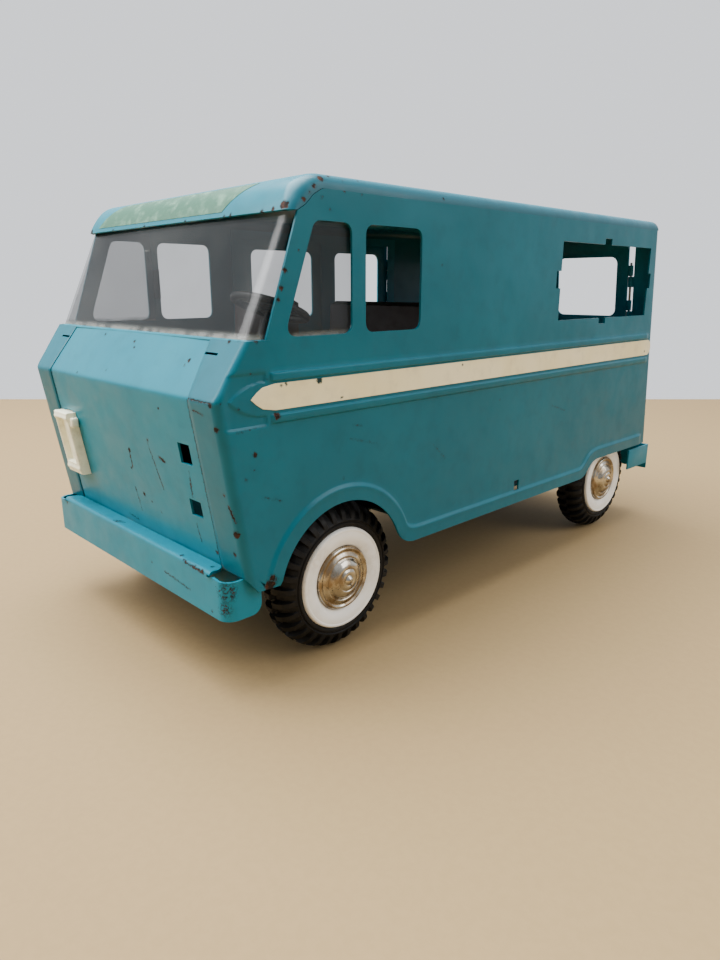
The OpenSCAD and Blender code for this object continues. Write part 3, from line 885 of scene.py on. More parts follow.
def bumper_marks() -> Marks:
    """Lists the wear of the front bumper.

    Returns:
        The marks.
    """
    spots = (
        (70.5, -44.0, 45.5, 0.9), (71.0, -43.6, 41.0, 0.7), (52.0, -44.6, 46.6, 0.6),
        (57.0, -44.6, 46.2, 0.9), (58.0, -41.0, 47.4, 0.6), (41.0, -43.0, 47.4, 0.6),
        (20.0, -44.6, 39.0, 0.4), (-12.0, -43.0, 47.4, 0.5), (-60.0, -44.6, 45.0, 0.5),
        (62.0, -44.6, 33.0, 0.4),
    )
    lines = (
        ScratchAndSeamShade((44.0, -44.6, 46.8), (58.0, -44.7, 45.8), 0.22),
        ScratchAndSeamShade((30.0, -44.7, 38.0), (48.0, -44.7, 36.5), 0.10),
        ScratchAndSeamShade((-14.0, -43.4, 47.4), (-10.0, -41.0, 47.4), 0.12),
        ScratchAndSeamShade((-12.0, -43.6, 47.4), (-8.0, -41.4, 47.4), 0.12),
        ScratchAndSeamShade((68.8, -44.4, 46.0), (69.4, -44.4, 33.0), 0.22),
    )
    patches = (RustPatch((70.0, -43.5, 42.0), 7.5), RustPatch((69.0, -44.0, 35.5), 5.0),
               RustPatch((-71.0, -43.0, 44.0), 4.0))
    return Marks(tuple(Chip((x, y, z), r) for x, y, z, r in spots), lines, patches)


class Palette:
    """Every finish of the toy, built once."""

    def __init__(self) -> None:
        """Builds the materials."""
        teal, pale = "#017286", "#03798C"
        # The side enamel is a darker copy of the body teal: painted shade for the sides, which face away from
        # the key light.
        self.side = StovingEnamel("teal_enamel_side_painted_shade", "#005E6E", "#016576", side_marks()).build()
        self.nose = StovingEnamel("teal_enamel_nose", teal, pale, nose_marks()).build()
        # The roof's rounded side edges turn to the darker side teal: painted shade.
        self.roof = StovingEnamel("teal_enamel_roof", teal, pale, visor_marks(), painted_flank_shade="#005464").build()
        self.bumper = StovingEnamel("teal_enamel_bumper", teal, pale, bumper_marks()).build()
        self.body = StovingEnamel("teal_enamel_plain", teal, pale).build()
        # The floor enamel is a dark copy of the body teal: painted shade for the inside of the body and
        # behind the nose.
        self.inner = StovingEnamel("teal_enamel_floor_painted_shade", "#04343A", "#063C43").build()
        self.stripe = StovingEnamel(
            "cream_enamel", "#F6EAC0", "#ECDDA8",
            stripe_marks(), rough_low=0.36, rough_high=0.5, rust_dark="#1E3434", rust_warm="#2C5050",
        ).build()
        self.bezel = MouldedPlastic("ivory_moulded_plastic", "#FFFEE2", "#ADA47A", 0.2, 6.0).build()
        self.whitewall = MouldedPlastic("pale_moulded_vinyl", "#FBF8F0", "#BDB092", 0.18, 12.0).build()
        self.seat = MouldedPlastic("brown_moulded_vinyl", "#2C1608", "#3A2414", 0.2, 20.0, 1.4, 0.04).build()
        self.black = MouldedPlastic("black_moulded_plastic", "#111112", "#3A3732", 0.2, 10.0).build()
        self.clear = SmokyAcetate().build()
        self.rubber = TyreRubber().build()
        self.plate = TarnishedPlate().build()
        self.steel = BareSteel().build()
        self.label = WornLabel().build()
        self.floor = StudioFloor().build()


# ---------------------------------------------------------------- body shell


@dataclass(frozen=True)
class NoseLine:
    """Line of the bonnet and nose seen from the side, front edge of every panel that meets it."""

    belt_y: float = -34.0
    belt_z: float = 125.3
    fold_y: float = -46.5
    fold_z: float = 107.0
    low_y: float = -37.4
    low_z: float = 46.0
    fold_softness: float = 0.3

    def y(self, z: float) -> float:
        """Gives the line of the sheet, upright above the belt.

        Args:
            z: Height.

        Returns:
            How far forward the sheet is there.
        """
        z = min(z, self.belt_z)
        bonnet = self.fold_y + (z - self.fold_z) * (self.belt_y - self.fold_y) / (self.belt_z - self.fold_z)
        nose = self.fold_y + (self.fold_z - z) * (self.low_y - self.fold_y) / (self.fold_z - self.low_z)
        middle, half = (bonnet + nose) / 2, (bonnet - nose) / 2
        return middle + math.hypot(half, self.fold_softness)

    def seam_x(self, z: float) -> float:
        """Returns half the width between the two seams of the front panel at height z."""
        return table_value(((46.0, 58.2), (107.0, 57.5), (125.3, 53.5)), z)


@dataclass(frozen=True)
class RearLine:
    """Leaning line of the rear wall."""

    lean: float = 5.5
    top_z: float = 177.4

    def y(self, z: float) -> float:
        """Returns how far back the wall is at height z."""
        return ROOF_LENGTH + (self.top_z - z) * math.tan(math.radians(self.lean))


NOSE = NoseLine()
REAR = RearLine()
VISOR_SIDE: tuple[Point2, ...] = ((0, 172.4), (-2.1, 172.3), (-5.5, 170.4), (-8.9, 167.2), (-12.3, 165.2))
# Height and Y of the side panel's front edge above the belt: pillar, then the joint with the visor.
PILLAR_EDGE: tuple[Point2, ...] = (
    (125.4, -26.5), (165.05, -12.3), (167.05, -8.9), (170.25, -5.5), (172.15, -2.1), (172.4, -0.5),
)


@dataclass
class SideSkin:
    """One side of the body: a single pressing with its front corner, lip and stripe bands."""

    side: Side
    half_w: float = 74.2
    sheet: float = 0.9
    corner_r: float = 3.4
    bonnet_r: float = 2.3
    rear_r: float = 1.6
    emboss: float = 0.8
    hem: float = 0.3
    lip: float = 5.2
    lip_roll: float = 1.9
    arch: Point2 = (7.0, 33.0)
    arch_r: float = 31.6
    sill_z: float = 39.0
    tail_z: float = 47.8
    top_z: float = 172.4
    band_y: float = -25.5
    recess: float = 0.55
    columns: list[tuple[str, float]] = field(default_factory=list)
    rows: list[tuple[str, float]] = field(default_factory=list)

    WEB_TOP = 96.8
    WRAP_FOOT_Z = 40.5
    ARCH_ANGLES = (167.0, 24.0)
    SILL_Y = (47.0, 183.0)
    STEP_Y = (192.5, 203.0)
    TOP_Y = {"arch": (-24.5, 40.0), "turn": (40.0, 50.0), "sill": (50.0, 183.0), "step": (183.0, 205.0)}
    BANDS = ((98.3, 101.2), (112.2, 115.0))
    SPEAR_Z = 106.7
    CUT_X = (70.0, 80.0)
    CAB_WINDOW = ((11.5, 125.9), (11.5, 162.6), (-5.3, 162.6), (-18.9, 125.9))
    MIDDLE_WINDOW = ((18.1, 125.9), (47.9, 125.9), (47.9, 162.6), (18.1, 162.6))
    DOORWAY = ((62.5, 46.5), (186.1, 46.5), (186.1, 168.9), (62.5, 168.9))
    SILL_NOTCH = ((120.0, 45.4), (124.0, 45.4), (124.0, 50.4), (120.0, 50.4))
    REAR_CUT_OUT = (
        (149.5, 125.9), (190.5, 125.9), (190.5, 122.9), (197.5, 122.9), (197.5, 125.9), (244.3, 125.9),
        (244.3, 141), (247, 141), (247, 149), (244.3, 149), (244.3, 162.6), (197.5, 162.6),
        (197.5, 165.6), (190.5, 165.6), (190.5, 162.6), (149.5, 162.6), (149.5, 149), (145.5, 149),
        (145.5, 141), (149.5, 141),
    )

    def __post_init__(self) -> None:
        """Lists the stations of the grid."""
        zones = (("wrap", 6), ("corner", 12), ("fore", 32), ("arch", 40), ("turn", 8), ("sill", 24),
                 ("step", 12), ("tail", 0), ("heel", 5))
        tail = (0, 0.25, 0.5, 0.7, 0.8, 0.84, 0.87, 0.9, 0.93, 0.96, 1)
        for zone, count in zones:
            shares = (spaced(0, 1, count) if count else tail)[1:]
            start = (0, 0.02, 0.045) if zone == "wrap" else ()
            self.columns += [(zone, t) for t in (*start, *shares)]
        lip_end = self.lip + self.lip_roll
        lips = [0, 1.5, 3.0, 4.2, 4.8, *spaced(self.lip, lip_end, 6)]
        self.rows += [("lip", k) for k in lips]
        self.rows += [("web", t) for t in (0.06, 0.2, 0.4, 0.6, 0.8)]
        heights = [
            self.WEB_TOP, 97.6, 98.1, 98.5, 98.9, 100.4, 100.8, 101.2, *spaced(101.6, 111.8, 19),
            112.2, 112.6, 113.0, 114.0, 114.4, 114.8, 115.2, 115.8, 117, 120, NOSE.belt_z, 125.4, 145,
            165.05, 167.05, 168.6, 170.25, 171.2, 172.15, self.top_z,
        ]
        self.rows += [("level", z) for z in heights]

    def _edge(self, zone: str, t: float, k: float) -> Point2:
        """Gives the lower edge of the panel, or a line that runs beside it.

        Args:
            zone: Part of the edge.
            t: Share along that part.
            k: How far above the edge the line runs.

        Returns:
            The point, in Y and Z.
        """
        ring = self.arch_r + k
        if zone == "arch":
            angle = math.radians(mix(*self.ARCH_ANGLES, t))
            return (self.arch[0] + ring * math.cos(angle), self.arch[1] + ring * math.sin(angle))
        low = self.sill_z + k
        if zone == "turn":
            angle = math.radians(self.ARCH_ANGLES[1])
            start = self._edge("arch", 1, k)
            drop = (start[1] - low) / math.cos(angle)
            end = (self.SILL_Y[0] + 0.6 * k, low)
            return bezier(start, (start[0] + drop * math.sin(angle), low), end, t)
        if zone == "sill":
            return (mix(self.SILL_Y[0] + 0.6 * k, self.SILL_Y[1], t), low)
        high = self.tail_z + k
        shift = 0.4 * k
        centre, end = self.STEP_Y
        middle = (centre - shift, (low + high) / 2)
        if zone == "step":
            if t < 0.5:
                return bezier((self.SILL_Y[1], low), (centre - 4 - shift, low), middle, t * 2)
            return bezier(middle, (centre + 4 - shift, high), (end, high), t * 2 - 1)
        return (mix(end, REAR.y(high) - self.rear_r, t), high)

    def _line(self, zone: str, t: float, z: float) -> float:
        """Gives a column of the grid above the web.

        Args:
            zone: Part of the edge that the column rises from.
            t: Share along that part.
            z: Height.

        Returns:
            Y of the column there.
        """
        start = self.TOP_Y["arch"][0]
        if zone == "fore":
            front = table_value(PILLAR_EDGE, z) if z > NOSE.belt_z else NOSE.y(z) + self._corner(z)
            return mix(front, self._line("arch", 0.0, z), t)
        if zone == "arch":
            lean = max(0.0, table_value(PILLAR_EDGE, z) + 4.0 - start) if z > NOSE.belt_z else 0.0
            return mix(start + lean, self.TOP_Y["arch"][1], t)
        if zone in self.TOP_Y:
            return mix(*self.TOP_Y[zone], t)
        return mix(self.TOP_Y["step"][1], REAR.y(z) - self.rear_r, t)

    def _flat(self, zone: str, t: float, row: str, v: float) -> Point2:
        """Gives a point of the grid on the side plane.

        Args:
            zone: Zone of its column.
            t: Share across the zone.
            row: Kind of its row.
            v: Station of the row: a height, a share or a distance from the edge.

        Returns:
            Its Y and Z.
        """
        if row == "level":
            return (self._line(zone, t, v), v)
        reach = self.lip + self.lip_roll
        k = v if row == "lip" else reach
        if zone in ("wrap", "corner", "fore"):
            fall = {"wrap": 0.0, "corner": 1 - math.cos(math.radians(90 * t)), "fore": 1.0}[zone]
            z = mix(NOSE.low_z, self.WRAP_FOOT_Z, fall) + k
            if zone == "fore":
                tip = self._edge("arch", 0, k)
                low = (mix(NOSE.y(z) + self._corner(z), tip[0], t), mix(z, tip[1], t))
            else:
                low = (NOSE.y(z), z)
        else:
            low = self._edge("tail" if zone == "heel" else zone, 1 if zone == "heel" else t, k)
        if row == "lip":
            return low
        top = (self._line(zone, t, self.WEB_TOP), self.WEB_TOP)
        return (mix(low[0], top[0], v), mix(low[1], top[1], v))

    def _relief(self, zone: str, row: str, k: float, y: float, z: float) -> float:
        """Gives the embossing of the side plane.

        Args:
            zone: Zone of the column.
            row: Kind of the row.
            k: Station of the row.
            y: Y of the point.
            z: Height of the point.

        Returns:
            How far the sheet stands out there, negative in the hollow.
        """
        if row == "lip" and zone in ("arch", "turn", "sill", "step", "tail"):
            bead = 0.14 * math.exp(-((k - self.lip) / 0.8) ** 2)
            rise = self.emboss * (1 - ease((k - self.lip) / self.lip_roll)) + bead
            return rise * (1 - ease((y - (REAR.y(z) - 9)) / 4))
        if not 97 < z < 116:
            return 0.0
        ends = ease((y - self.band_y) / 0.9) * (1 - ease((y - (REAR.y(z) - 7.0)) / 2.5))
        ridges = max(
            ease((z - low + 0.35) / 0.8) * (1 - ease((z - high + 0.4) / 0.8))
            for low, high in self.BANDS
        )
        hollow = (ease((y + 45.0) / 5.0) * (1 - ease((y + 27.6) / 0.9))
                  * ease((z - 97.7) / 0.9) * (1 - ease((z - 114.6) / 0.9)))
        along = (y + 41.6) / 14.6
        if along > 0:
            spread = 1 - (1 - min(1.0, along)) ** 2.4
            half = (5.5 if z > self.SPEAR_Z else 5.6) * spread
            hollow *= 1 - ease((half - abs(z - self.SPEAR_Z) + 0.3) / 0.6)
        return self.emboss * ridges * ends - self.recess * hollow

    def _place(self, column: float, row: float) -> Vector:
        """Puts a point of the left side's grid in the frame.

        Args:
            column: Number of its column.
            row: Number of its row.

        Returns:
            The frame point.
        """
        (zone, t), (kind, v) = self.columns[int(column)], self.rows[int(row)]
        y, z = self._flat(zone, t, kind, v)
        r = self._corner(z)
        if zone == "wrap":
            seam = NOSE.seam_x(z)
            x = mix(seam, self.half_w - r, t)
            return at(x, NOSE.y(z) + self.hem * (1 - ease((x - seam) / 0.7)), z)
        turn = math.radians(90 * t)
        if zone == "corner":
            spot = (self.half_w - r + r * math.sin(turn), NOSE.y(z) + r - r * math.cos(turn))
            return at(spot[0] + self._relief(zone, kind, v, spot[1], z) * math.sin(turn), spot[1], z)
        if zone == "heel":
            r = self.rear_r
            return at(self.half_w - r + r * math.cos(turn), REAR.y(z) - r + r * math.sin(turn), z)
        return at(self.half_w + self._relief(zone, kind, v, y, z), y, z)

    def _openings(self) -> bmesh.types.BMesh:
        """Makes the shapes that cut the windows and holes, on the left side.

        Returns:
            The closed cutting shapes.
        """
        bm = bmesh.new()
        for window in (self.CAB_WINDOW, self.MIDDLE_WINDOW):
            prism_x(bm, rounded(window, 4), *self.CUT_X)
        block(bm, (55.0, -50, 120.4), (62.5, -25, 121.2))
        left = self.side is Side.LEFT
        for outline in (self.SILL_NOTCH, self.REAR_CUT_OUT) if left else (self.DOORWAY,):
            prism_x(bm, outline, *self.CUT_X)
        return bm

    def build(self, palette: Palette) -> None:
        """Makes the panel and, on the right, keeps the hinge knuckles of the CAD panel with it.

        Args:
            palette: Finishes of the toy.
        """
        bm = station_grid(range(len(self.columns)), range(len(self.rows)), self._place)
        weld(bm)
        spare = [f for f in bm.faces if self._is_past_belt(f)]
        bmesh.ops.delete(bm, geom=spare, context="FACES")
        thicken_along(bm, self.sheet, self._inward)
        bm = carve(bm, self._openings())
        name = "left_side_panel" if self.side is Side.LEFT else "right_side_panel"
        if self.side is Side.RIGHT:
            flip_x(bm)
            self._add_knuckles(bm)
        show(bm, f"{name}_skin", palette.side, Body.SHELL.value, "body_paint", [name])

    def _inward(self, spot: Vector) -> Vector:
        """Gives the way into the vehicle at a point of the left sheet.

        Args:
            spot: Frame point of the sheet.

        Returns:
            The unit vector.
        """
        x, y, z = spot.x / MM, (spot.y - DATUM_Y) / MM, spot.z / MM
        r = self._corner(z)
        rise, run = max(0.0, x - (self.half_w - r)), max(0.0, NOSE.y(z) + r - y)
        if z > NOSE.belt_z + 0.02 or run == 0:
            return Vector((-1, 0, 0))
        return Vector((-rise, run, 0)).normalized()

    def _corner(self, z: float) -> float:
        """Returns the radius of the front corner at height z, tighter beside the bonnet."""
        return mix(self.corner_r, self.bonnet_r, ease((z - NOSE.fold_z + 3) / 6))

    def _is_past_belt(self, face: bmesh.types.BMFace) -> bool:
        """Tells whether a face lies in front of the pillar, above the belt.

        Args:
            face: Face of the grid.

        Returns:
            Whether it does.
        """
        spot = face.calc_center_median()
        y, z = (spot.y - DATUM_Y) / MM, spot.z / MM
        return z > NOSE.belt_z + 0.02 and y < table_value(PILLAR_EDGE, z) - 0.02

    def _add_knuckles(self, bm: bmesh.types.BMesh) -> None:
        """Adds the fixed knuckles of the side door hinges, cut out of the CAD panel.

        Args:
            bm: Shape that they are added to.
        """
        source = refined_copy("right_side_panel", 0.1)
        keep = [(58.0, 67.0), (181.6, 190.6)]
        spare = [f for f in source.faces if not self._is_knuckle(f, keep)]
        bmesh.ops.delete(source, geom=spare, context="FACES")
        join(bm, source)

    @staticmethod
    def _is_knuckle(face: bmesh.types.BMFace, spans: Sequence[Point2]) -> bool:
        """Tells whether a face of the CAD panel belongs to a knuckle.

        Args:
            face: Face of the CAD panel.
            spans: Ranges of Y that hold knuckles.

        Returns:
            Whether it does.
        """
        ys = [(v.co.y - DATUM_Y) / MM for v in face.verts]
        zs = [v.co.z / MM for v in face.verts]
        small = max(zs) - min(zs) < 6.5 and max(ys) - min(ys) < 5
        return small and any(low <= min(ys) and max(ys) <= high for low, high in spans)


@dataclass
class RoofSkin:
    """Roof and sun visor: one sheet with rounded edges that curves down over the windshield."""

    half_w: float = 74.2
    z: float = 177.4
    edge_r: float = 5.0
    sheet: float = 1.0
    rear_r: float = 1.4
    lip: Point2 = (-15.8, 165.2)
    bend: Point2 = (-12.0, 177.4)

    def _profile(self, s: float) -> tuple[Point2, Point2]:
        """Gives the section of the roof at a station: below 0 a share of the visor, above 0 millimetres.

        Args:
            s: Station, -1 at the lip of the visor.

        Returns:
            The point on the roof line and the foot of the rounded edge, in Y and Z.
        """
        if s < 0:
            top = bezier((0.0, self.z), self.bend, self.lip, -s)
            reach = -s * (len(VISOR_SIDE) - 1)
            index = min(int(reach), len(VISOR_SIDE) - 2)
            a, b = VISOR_SIDE[index], VISOR_SIDE[index + 1]
            return top, (mix(a[0], b[0], reach - index), mix(a[1], b[1], reach - index))
        past = max(0.0, s - (ROOF_LENGTH - self.rear_r))
        drop = self.rear_r - math.sqrt(max(0.0, self.rear_r ** 2 - past ** 2))
        return (s, self.z - drop), (s, self.z - self.edge_r)

    def surface(self, x: float, s: float, lift: float = 0.0) -> Vector:
        """Gives a point on the roof.

        Args:
            x: Place across.
            s: Station along, as in _profile.
            lift: How far off the sheet.

        Returns:
            The frame point.
        """
        top, foot = self._profile(s)
        down = Vector(foot) - Vector(top)
        reach = down.length
        inset = self.half_w - reach
        over = max(0.0, abs(x) - inset) / reach
        turn = math.asin(min(1.0, over))
        sink = reach * (1 - math.cos(turn)) - lift
        spot = Vector(top) + down.normalized() * sink
        return at(x, spot.x, spot.y)

    def build(self, palette: Palette) -> None:
        """Makes the roof.

        Args:
            palette: Finishes of the toy.
        """
        edge = [math.sin(math.radians(a)) for a in spaced(0, 90, 9)]
        across = [-2 + 1 - e for e in reversed(edge)] + [-0.75, -0.5, -0.25, 0, 0.25, 0.5, 0.75]
        across += [1 + e for e in edge]
        along = [-t for t in spaced(1, 0.05, 22)] + [0.001, 3, *spaced(8, ROOF_LENGTH - self.rear_r, 20)]
        along += [ROOF_LENGTH - self.rear_r * (1 - math.sin(math.radians(a))) for a in (30, 60, 90)]

        def place(u: float, s: float) -> Vector:
            """Puts a point of the grid on the roof.

            Args:
                u: Station across, beyond 1 round the edge.
                s: Station along.

            Returns:
                The frame point.
            """
            top, foot = self._profile(s)
            reach = (Vector(foot) - Vector(top)).length
            inset = self.half_w - reach
            x = u * inset if abs(u) <= 1 else math.copysign(inset + (abs(u) - 1) * reach, u)
            return self.surface(x, s)

        bm = station_grid(across, along, place)
        thicken(bm, self.sheet)
        show(bm, "roof_panel_skin", palette.roof, Body.SHELL.value, "body_paint", ["roof_panel"])

    def build_label(self, palette: Palette) -> None:
        """Lays the plain green label on the visor.

        Args:
            palette: Finishes of the toy.
        """
        low, high = -0.93, -0.36
        left_end, right_end = (-63.0, -50.0), (36.0, 49.0)

        def place(u: float, t: float) -> Vector:
            """Returns the point at share u along the label and t up it."""
            s = mix(low, high, t)
            return self.surface(mix(mix(*left_end, t), mix(*right_end, t), u), s, 0.12)

        bm = station_grid(spaced(0, 1, 40), spaced(0, 1, 12), place)
        thicken(bm, 0.08)
        show(bm, "visor_label", palette.label, Body.SHELL.value, "body_paint")


@dataclass
class FrontSkin:
    """Bonnet and nose between the two side panels, with the holes for the lamp surrounds."""

    inset: float = 0.55
    gap: float = 0.42
    crown: float = 0.35
    sheet: float = 0.9
    socket_x: Point2 = (44.4, 51.8)
    socket_z: tuple[Point2, ...] = ((82.8, 90.2), (63.2, 69.3))

    def _place(self, u: float, z: float) -> Vector:
        """Returns the point at share u of the half width and height z."""
        x = u * (NOSE.seam_x(z) - self.gap)
        return at(x, NOSE.y(z) + self.inset - self.crown * (1 - u * u), z)

    def build(self, palette: Palette) -> None:
        """Makes the front panel and the ledge at its top.

        Args:
            palette: Finishes of the toy.
        """
        low = spaced(NOSE.low_z, 104.5, 20)
        heights = [*low, *spaced(105.0, 109.0, 12), *spaced(110.5, NOSE.belt_z - 1.2, 6), NOSE.belt_z - 0.4]
        bm = station_grid(spaced(-1, 1, 36), heights, self._place)
        thicken(bm, self.sheet)
        tools = bmesh.new()
        for side in Side:
            for z0, z1 in self.socket_z:
                x0, x1 = sorted(x * side.value for x in self.socket_x)
                block(tools, (x0, -55, z0), (x1, -30, z1))
        bm = carve(bm, tools)
        show(bm, "front_panel_skin", palette.nose, Body.SHELL.value, "body_paint", ["front_panel"])
        self._build_ledge(palette)

    def _build_ledge(self, palette: Palette) -> None:
        """Makes the narrow ledge that the windshield stands on, rolled over the belt.

        Args:
            palette: Finishes of the toy.
        """
        half, radius, back = 73.6, 6.0, -26.8
        turns = [math.radians(a) for a in spaced(0, 90, 8)]
        path = [
            (half - radius + radius * math.sin(a), NOSE.belt_y + radius - radius * math.cos(a)) for a in turns
        ]
        path = [(-x, y) for x, y in reversed(path)] + [(x, NOSE.belt_y) for x in spaced(-60, 60, 12)] + path
        roll = ((0.45, -1.3), (0.0, -0.8), (-0.12, -0.4), (0.05, -0.05), (0.5, 0.15), (1.2, 0.2), (2.2, 0.12))

        def place(u: float, v: float) -> Vector:
            """Puts a point of the grid on the ledge.

            Args:
                u: Station of the path.
                v: Station of the roll.

            Returns:
                The frame point.
            """
            x, y = path[int(u)]
            if v < len(roll):
                return at(x * (1 - 0.0015 * v), y + roll[int(v)][0], NOSE.belt_z + roll[int(v)][1])
            return at(x * 0.985, max(back, y + 3), NOSE.belt_z - 0.5)

        bm = station_grid(range(len(path)), range(len(roll) + 1), place)
        thicken(bm, 0.6)
        show(bm, "belt_ledge", palette.nose, Body.SHELL.value, "body_paint")


@dataclass
class Windshield:
    """Clear moulding: one pane in front that turns round both corners behind the cab windows."""

    low: Point2 = (-32.2, 125.5)
    high: Point2 = (-13.4, 166.4)
    half_low: float = 73.0
    half_high: float = 72.6
    corner_r: float = 3.0
    back: float = 14.0
    wall: float = 0.9

    def build(self, palette: Palette) -> None:
        """Makes the moulding.

        Args:
            palette: Finishes of the toy.
        """
        turns = spaced(0, 90, 10)
        stations = [("back", t) for t in spaced(1, 0.1, 6)] + [("turn", a) for a in reversed(turns)]
        path = [(-1, kind, v) for kind, v in stations] + [(1, "face", t) for t in spaced(-0.95, 0.95, 16)]
        path += [(1, kind, v) for kind, v in reversed(stations)]

        def place(u: float, t: float) -> Vector:
            """Puts a point of the grid on the moulding.

            Args:
                u: Station of the plan path.
                t: Share of the height.

            Returns:
                The frame point.
            """
            sign, kind, v = path[int(u)]
            front, z = mix(self.low[0], self.high[0], t), mix(self.low[1], self.high[1], t)
            half = mix(self.half_low, self.half_high, t)
            r = self.corner_r
            if kind == "face":
                return at(v * (half - r), front - 0.5 * (1 - v * v), z)
            if kind == "turn":
                a = math.radians(v)
                return at(sign * (half - r + r * math.sin(a)), front + r - r * math.cos(a), z)
            return at(sign * half, mix(front + r, self.back, v), z)

        bm = station_grid(range(len(path)), spaced(0, 1, 14), place)
        thicken(bm, self.wall)
        show(bm, "windshield_moulding", palette.clear, Body.SHELL.value, "clear_plastic", ["windshield"])


@dataclass
class Stripe:
    """Cream spear in the groove between the bands."""

    node: str
    bevel: float = 0.08

    def build(self, palette: Palette) -> None:
        """Makes the stripe with softened edges."""
        bm = refined_copy(self.node, self.bevel, 1)
        show(bm, f"{self.node}_paint", palette.stripe, Body.SHELL.value, "stripe_paint", [self.node])


@dataclass
class LampSurround:
    """Moulded surround of the right lamp: a recessed panel between two ledges."""

    x0: float = -55.0
    x1: float = -41.3
    z0: float = 61.6
    z1: float = 89.6
    depth: float = 3.9
    peg_x: Point2 = (-51.4, -44.8)
    peg_z: tuple[Point2, ...] = ((83.3, 89.7), (63.7, 68.8))

    def _depth(self, x: float, z: float) -> float:
        """Gives the relief of the moulding.

        Args:
            x: Place across.
            z: Height.

        Returns:
            How far it stands out of the nose there.
        """
        inside = min(
            ease((x - self.x0 - 1.7) / 0.5), ease((self.x1 - 3.2 - x) / 0.5),
            ease((z - self.z0 - 5.0) / 0.5), ease((self.z1 - 2.6 - z) / 0.5),
        )
        middle = (self.z0 + self.z1) / 2
        waist = 0.5 * (1 - ease(abs(abs(z - middle) - 11.5) / 1.6))
        return mix(self.depth + waist, self.depth - 2.1, inside)

    def build(self, palette: Palette) -> None:
        """Makes the surround with its lug and its two pegs.

        Args:
            palette: Finishes of the toy.
        """
        rim = (0.0, 0.35, 0.8)
        xs = [self.x0 + r for r in rim] + spaced(self.x0 + 1.4, self.x1 - 1.4, 22)
        xs += [self.x1 - r for r in reversed(rim)]
        zs = [self.z0 + r for r in rim] + spaced(self.z0 + 1.4, self.z1 - 1.4, 60)
        zs += [self.z1 - r for r in reversed(rim)]

        def place(u: float, v: float) -> Vector:
            """Puts a point of the grid on the relief, or on the nose at the outermost stations.

            Args:
                u: Station across.
                v: Station up.

            Returns:
                The frame point.
            """
            i, j = int(u), int(v)
            x = xs[min(max(i - 1, 0), len(xs) - 1)]
            z = zs[min(max(j - 1, 0), len(zs) - 1)]
            if i in (0, len(xs) + 1) or j in (0, len(zs) + 1):
                return at(x, NOSE.y(z) + 0.3, z)
            inner = min(x - self.x0, self.x1 - x, z - self.z0, self.z1 - z)
            soft = 0.8 - math.sqrt(max(0.0, 0.64 - max(0.0, 0.8 - inner) ** 2))
            return at(x, NOSE.y(z) - self._depth(x, z) + soft, z)

        bm = station_grid(range(len(xs) + 2), range(len(zs) + 2), place)
        weld(bm)
        for z0, z1 in self.peg_z:
            block(bm, (self.peg_x[0], NOSE.y(z0) - 0.5, z0), (self.peg_x[1], NOSE.y(z1) + 4, z1))
        lug = bmesh.new()
        block(lug, (-42.0, NOSE.y(86) - 3.0, 83.4), (-39.2, NOSE.y(86) + 0.2, 87.6))
        bmesh.ops.bevel(
            lug, geom=lug.edges[:], offset=0.9 * MM, offset_type="OFFSET", segments=4, profile=0.5,
            affect="EDGES", clamp_overlap=True, material=-1,
        )
        join(bm, lug)
        show(bm, "right_lamp_surround", palette.bezel, Body.SHELL.value, "lamp_plastic", ["right_lamp_bezel"])


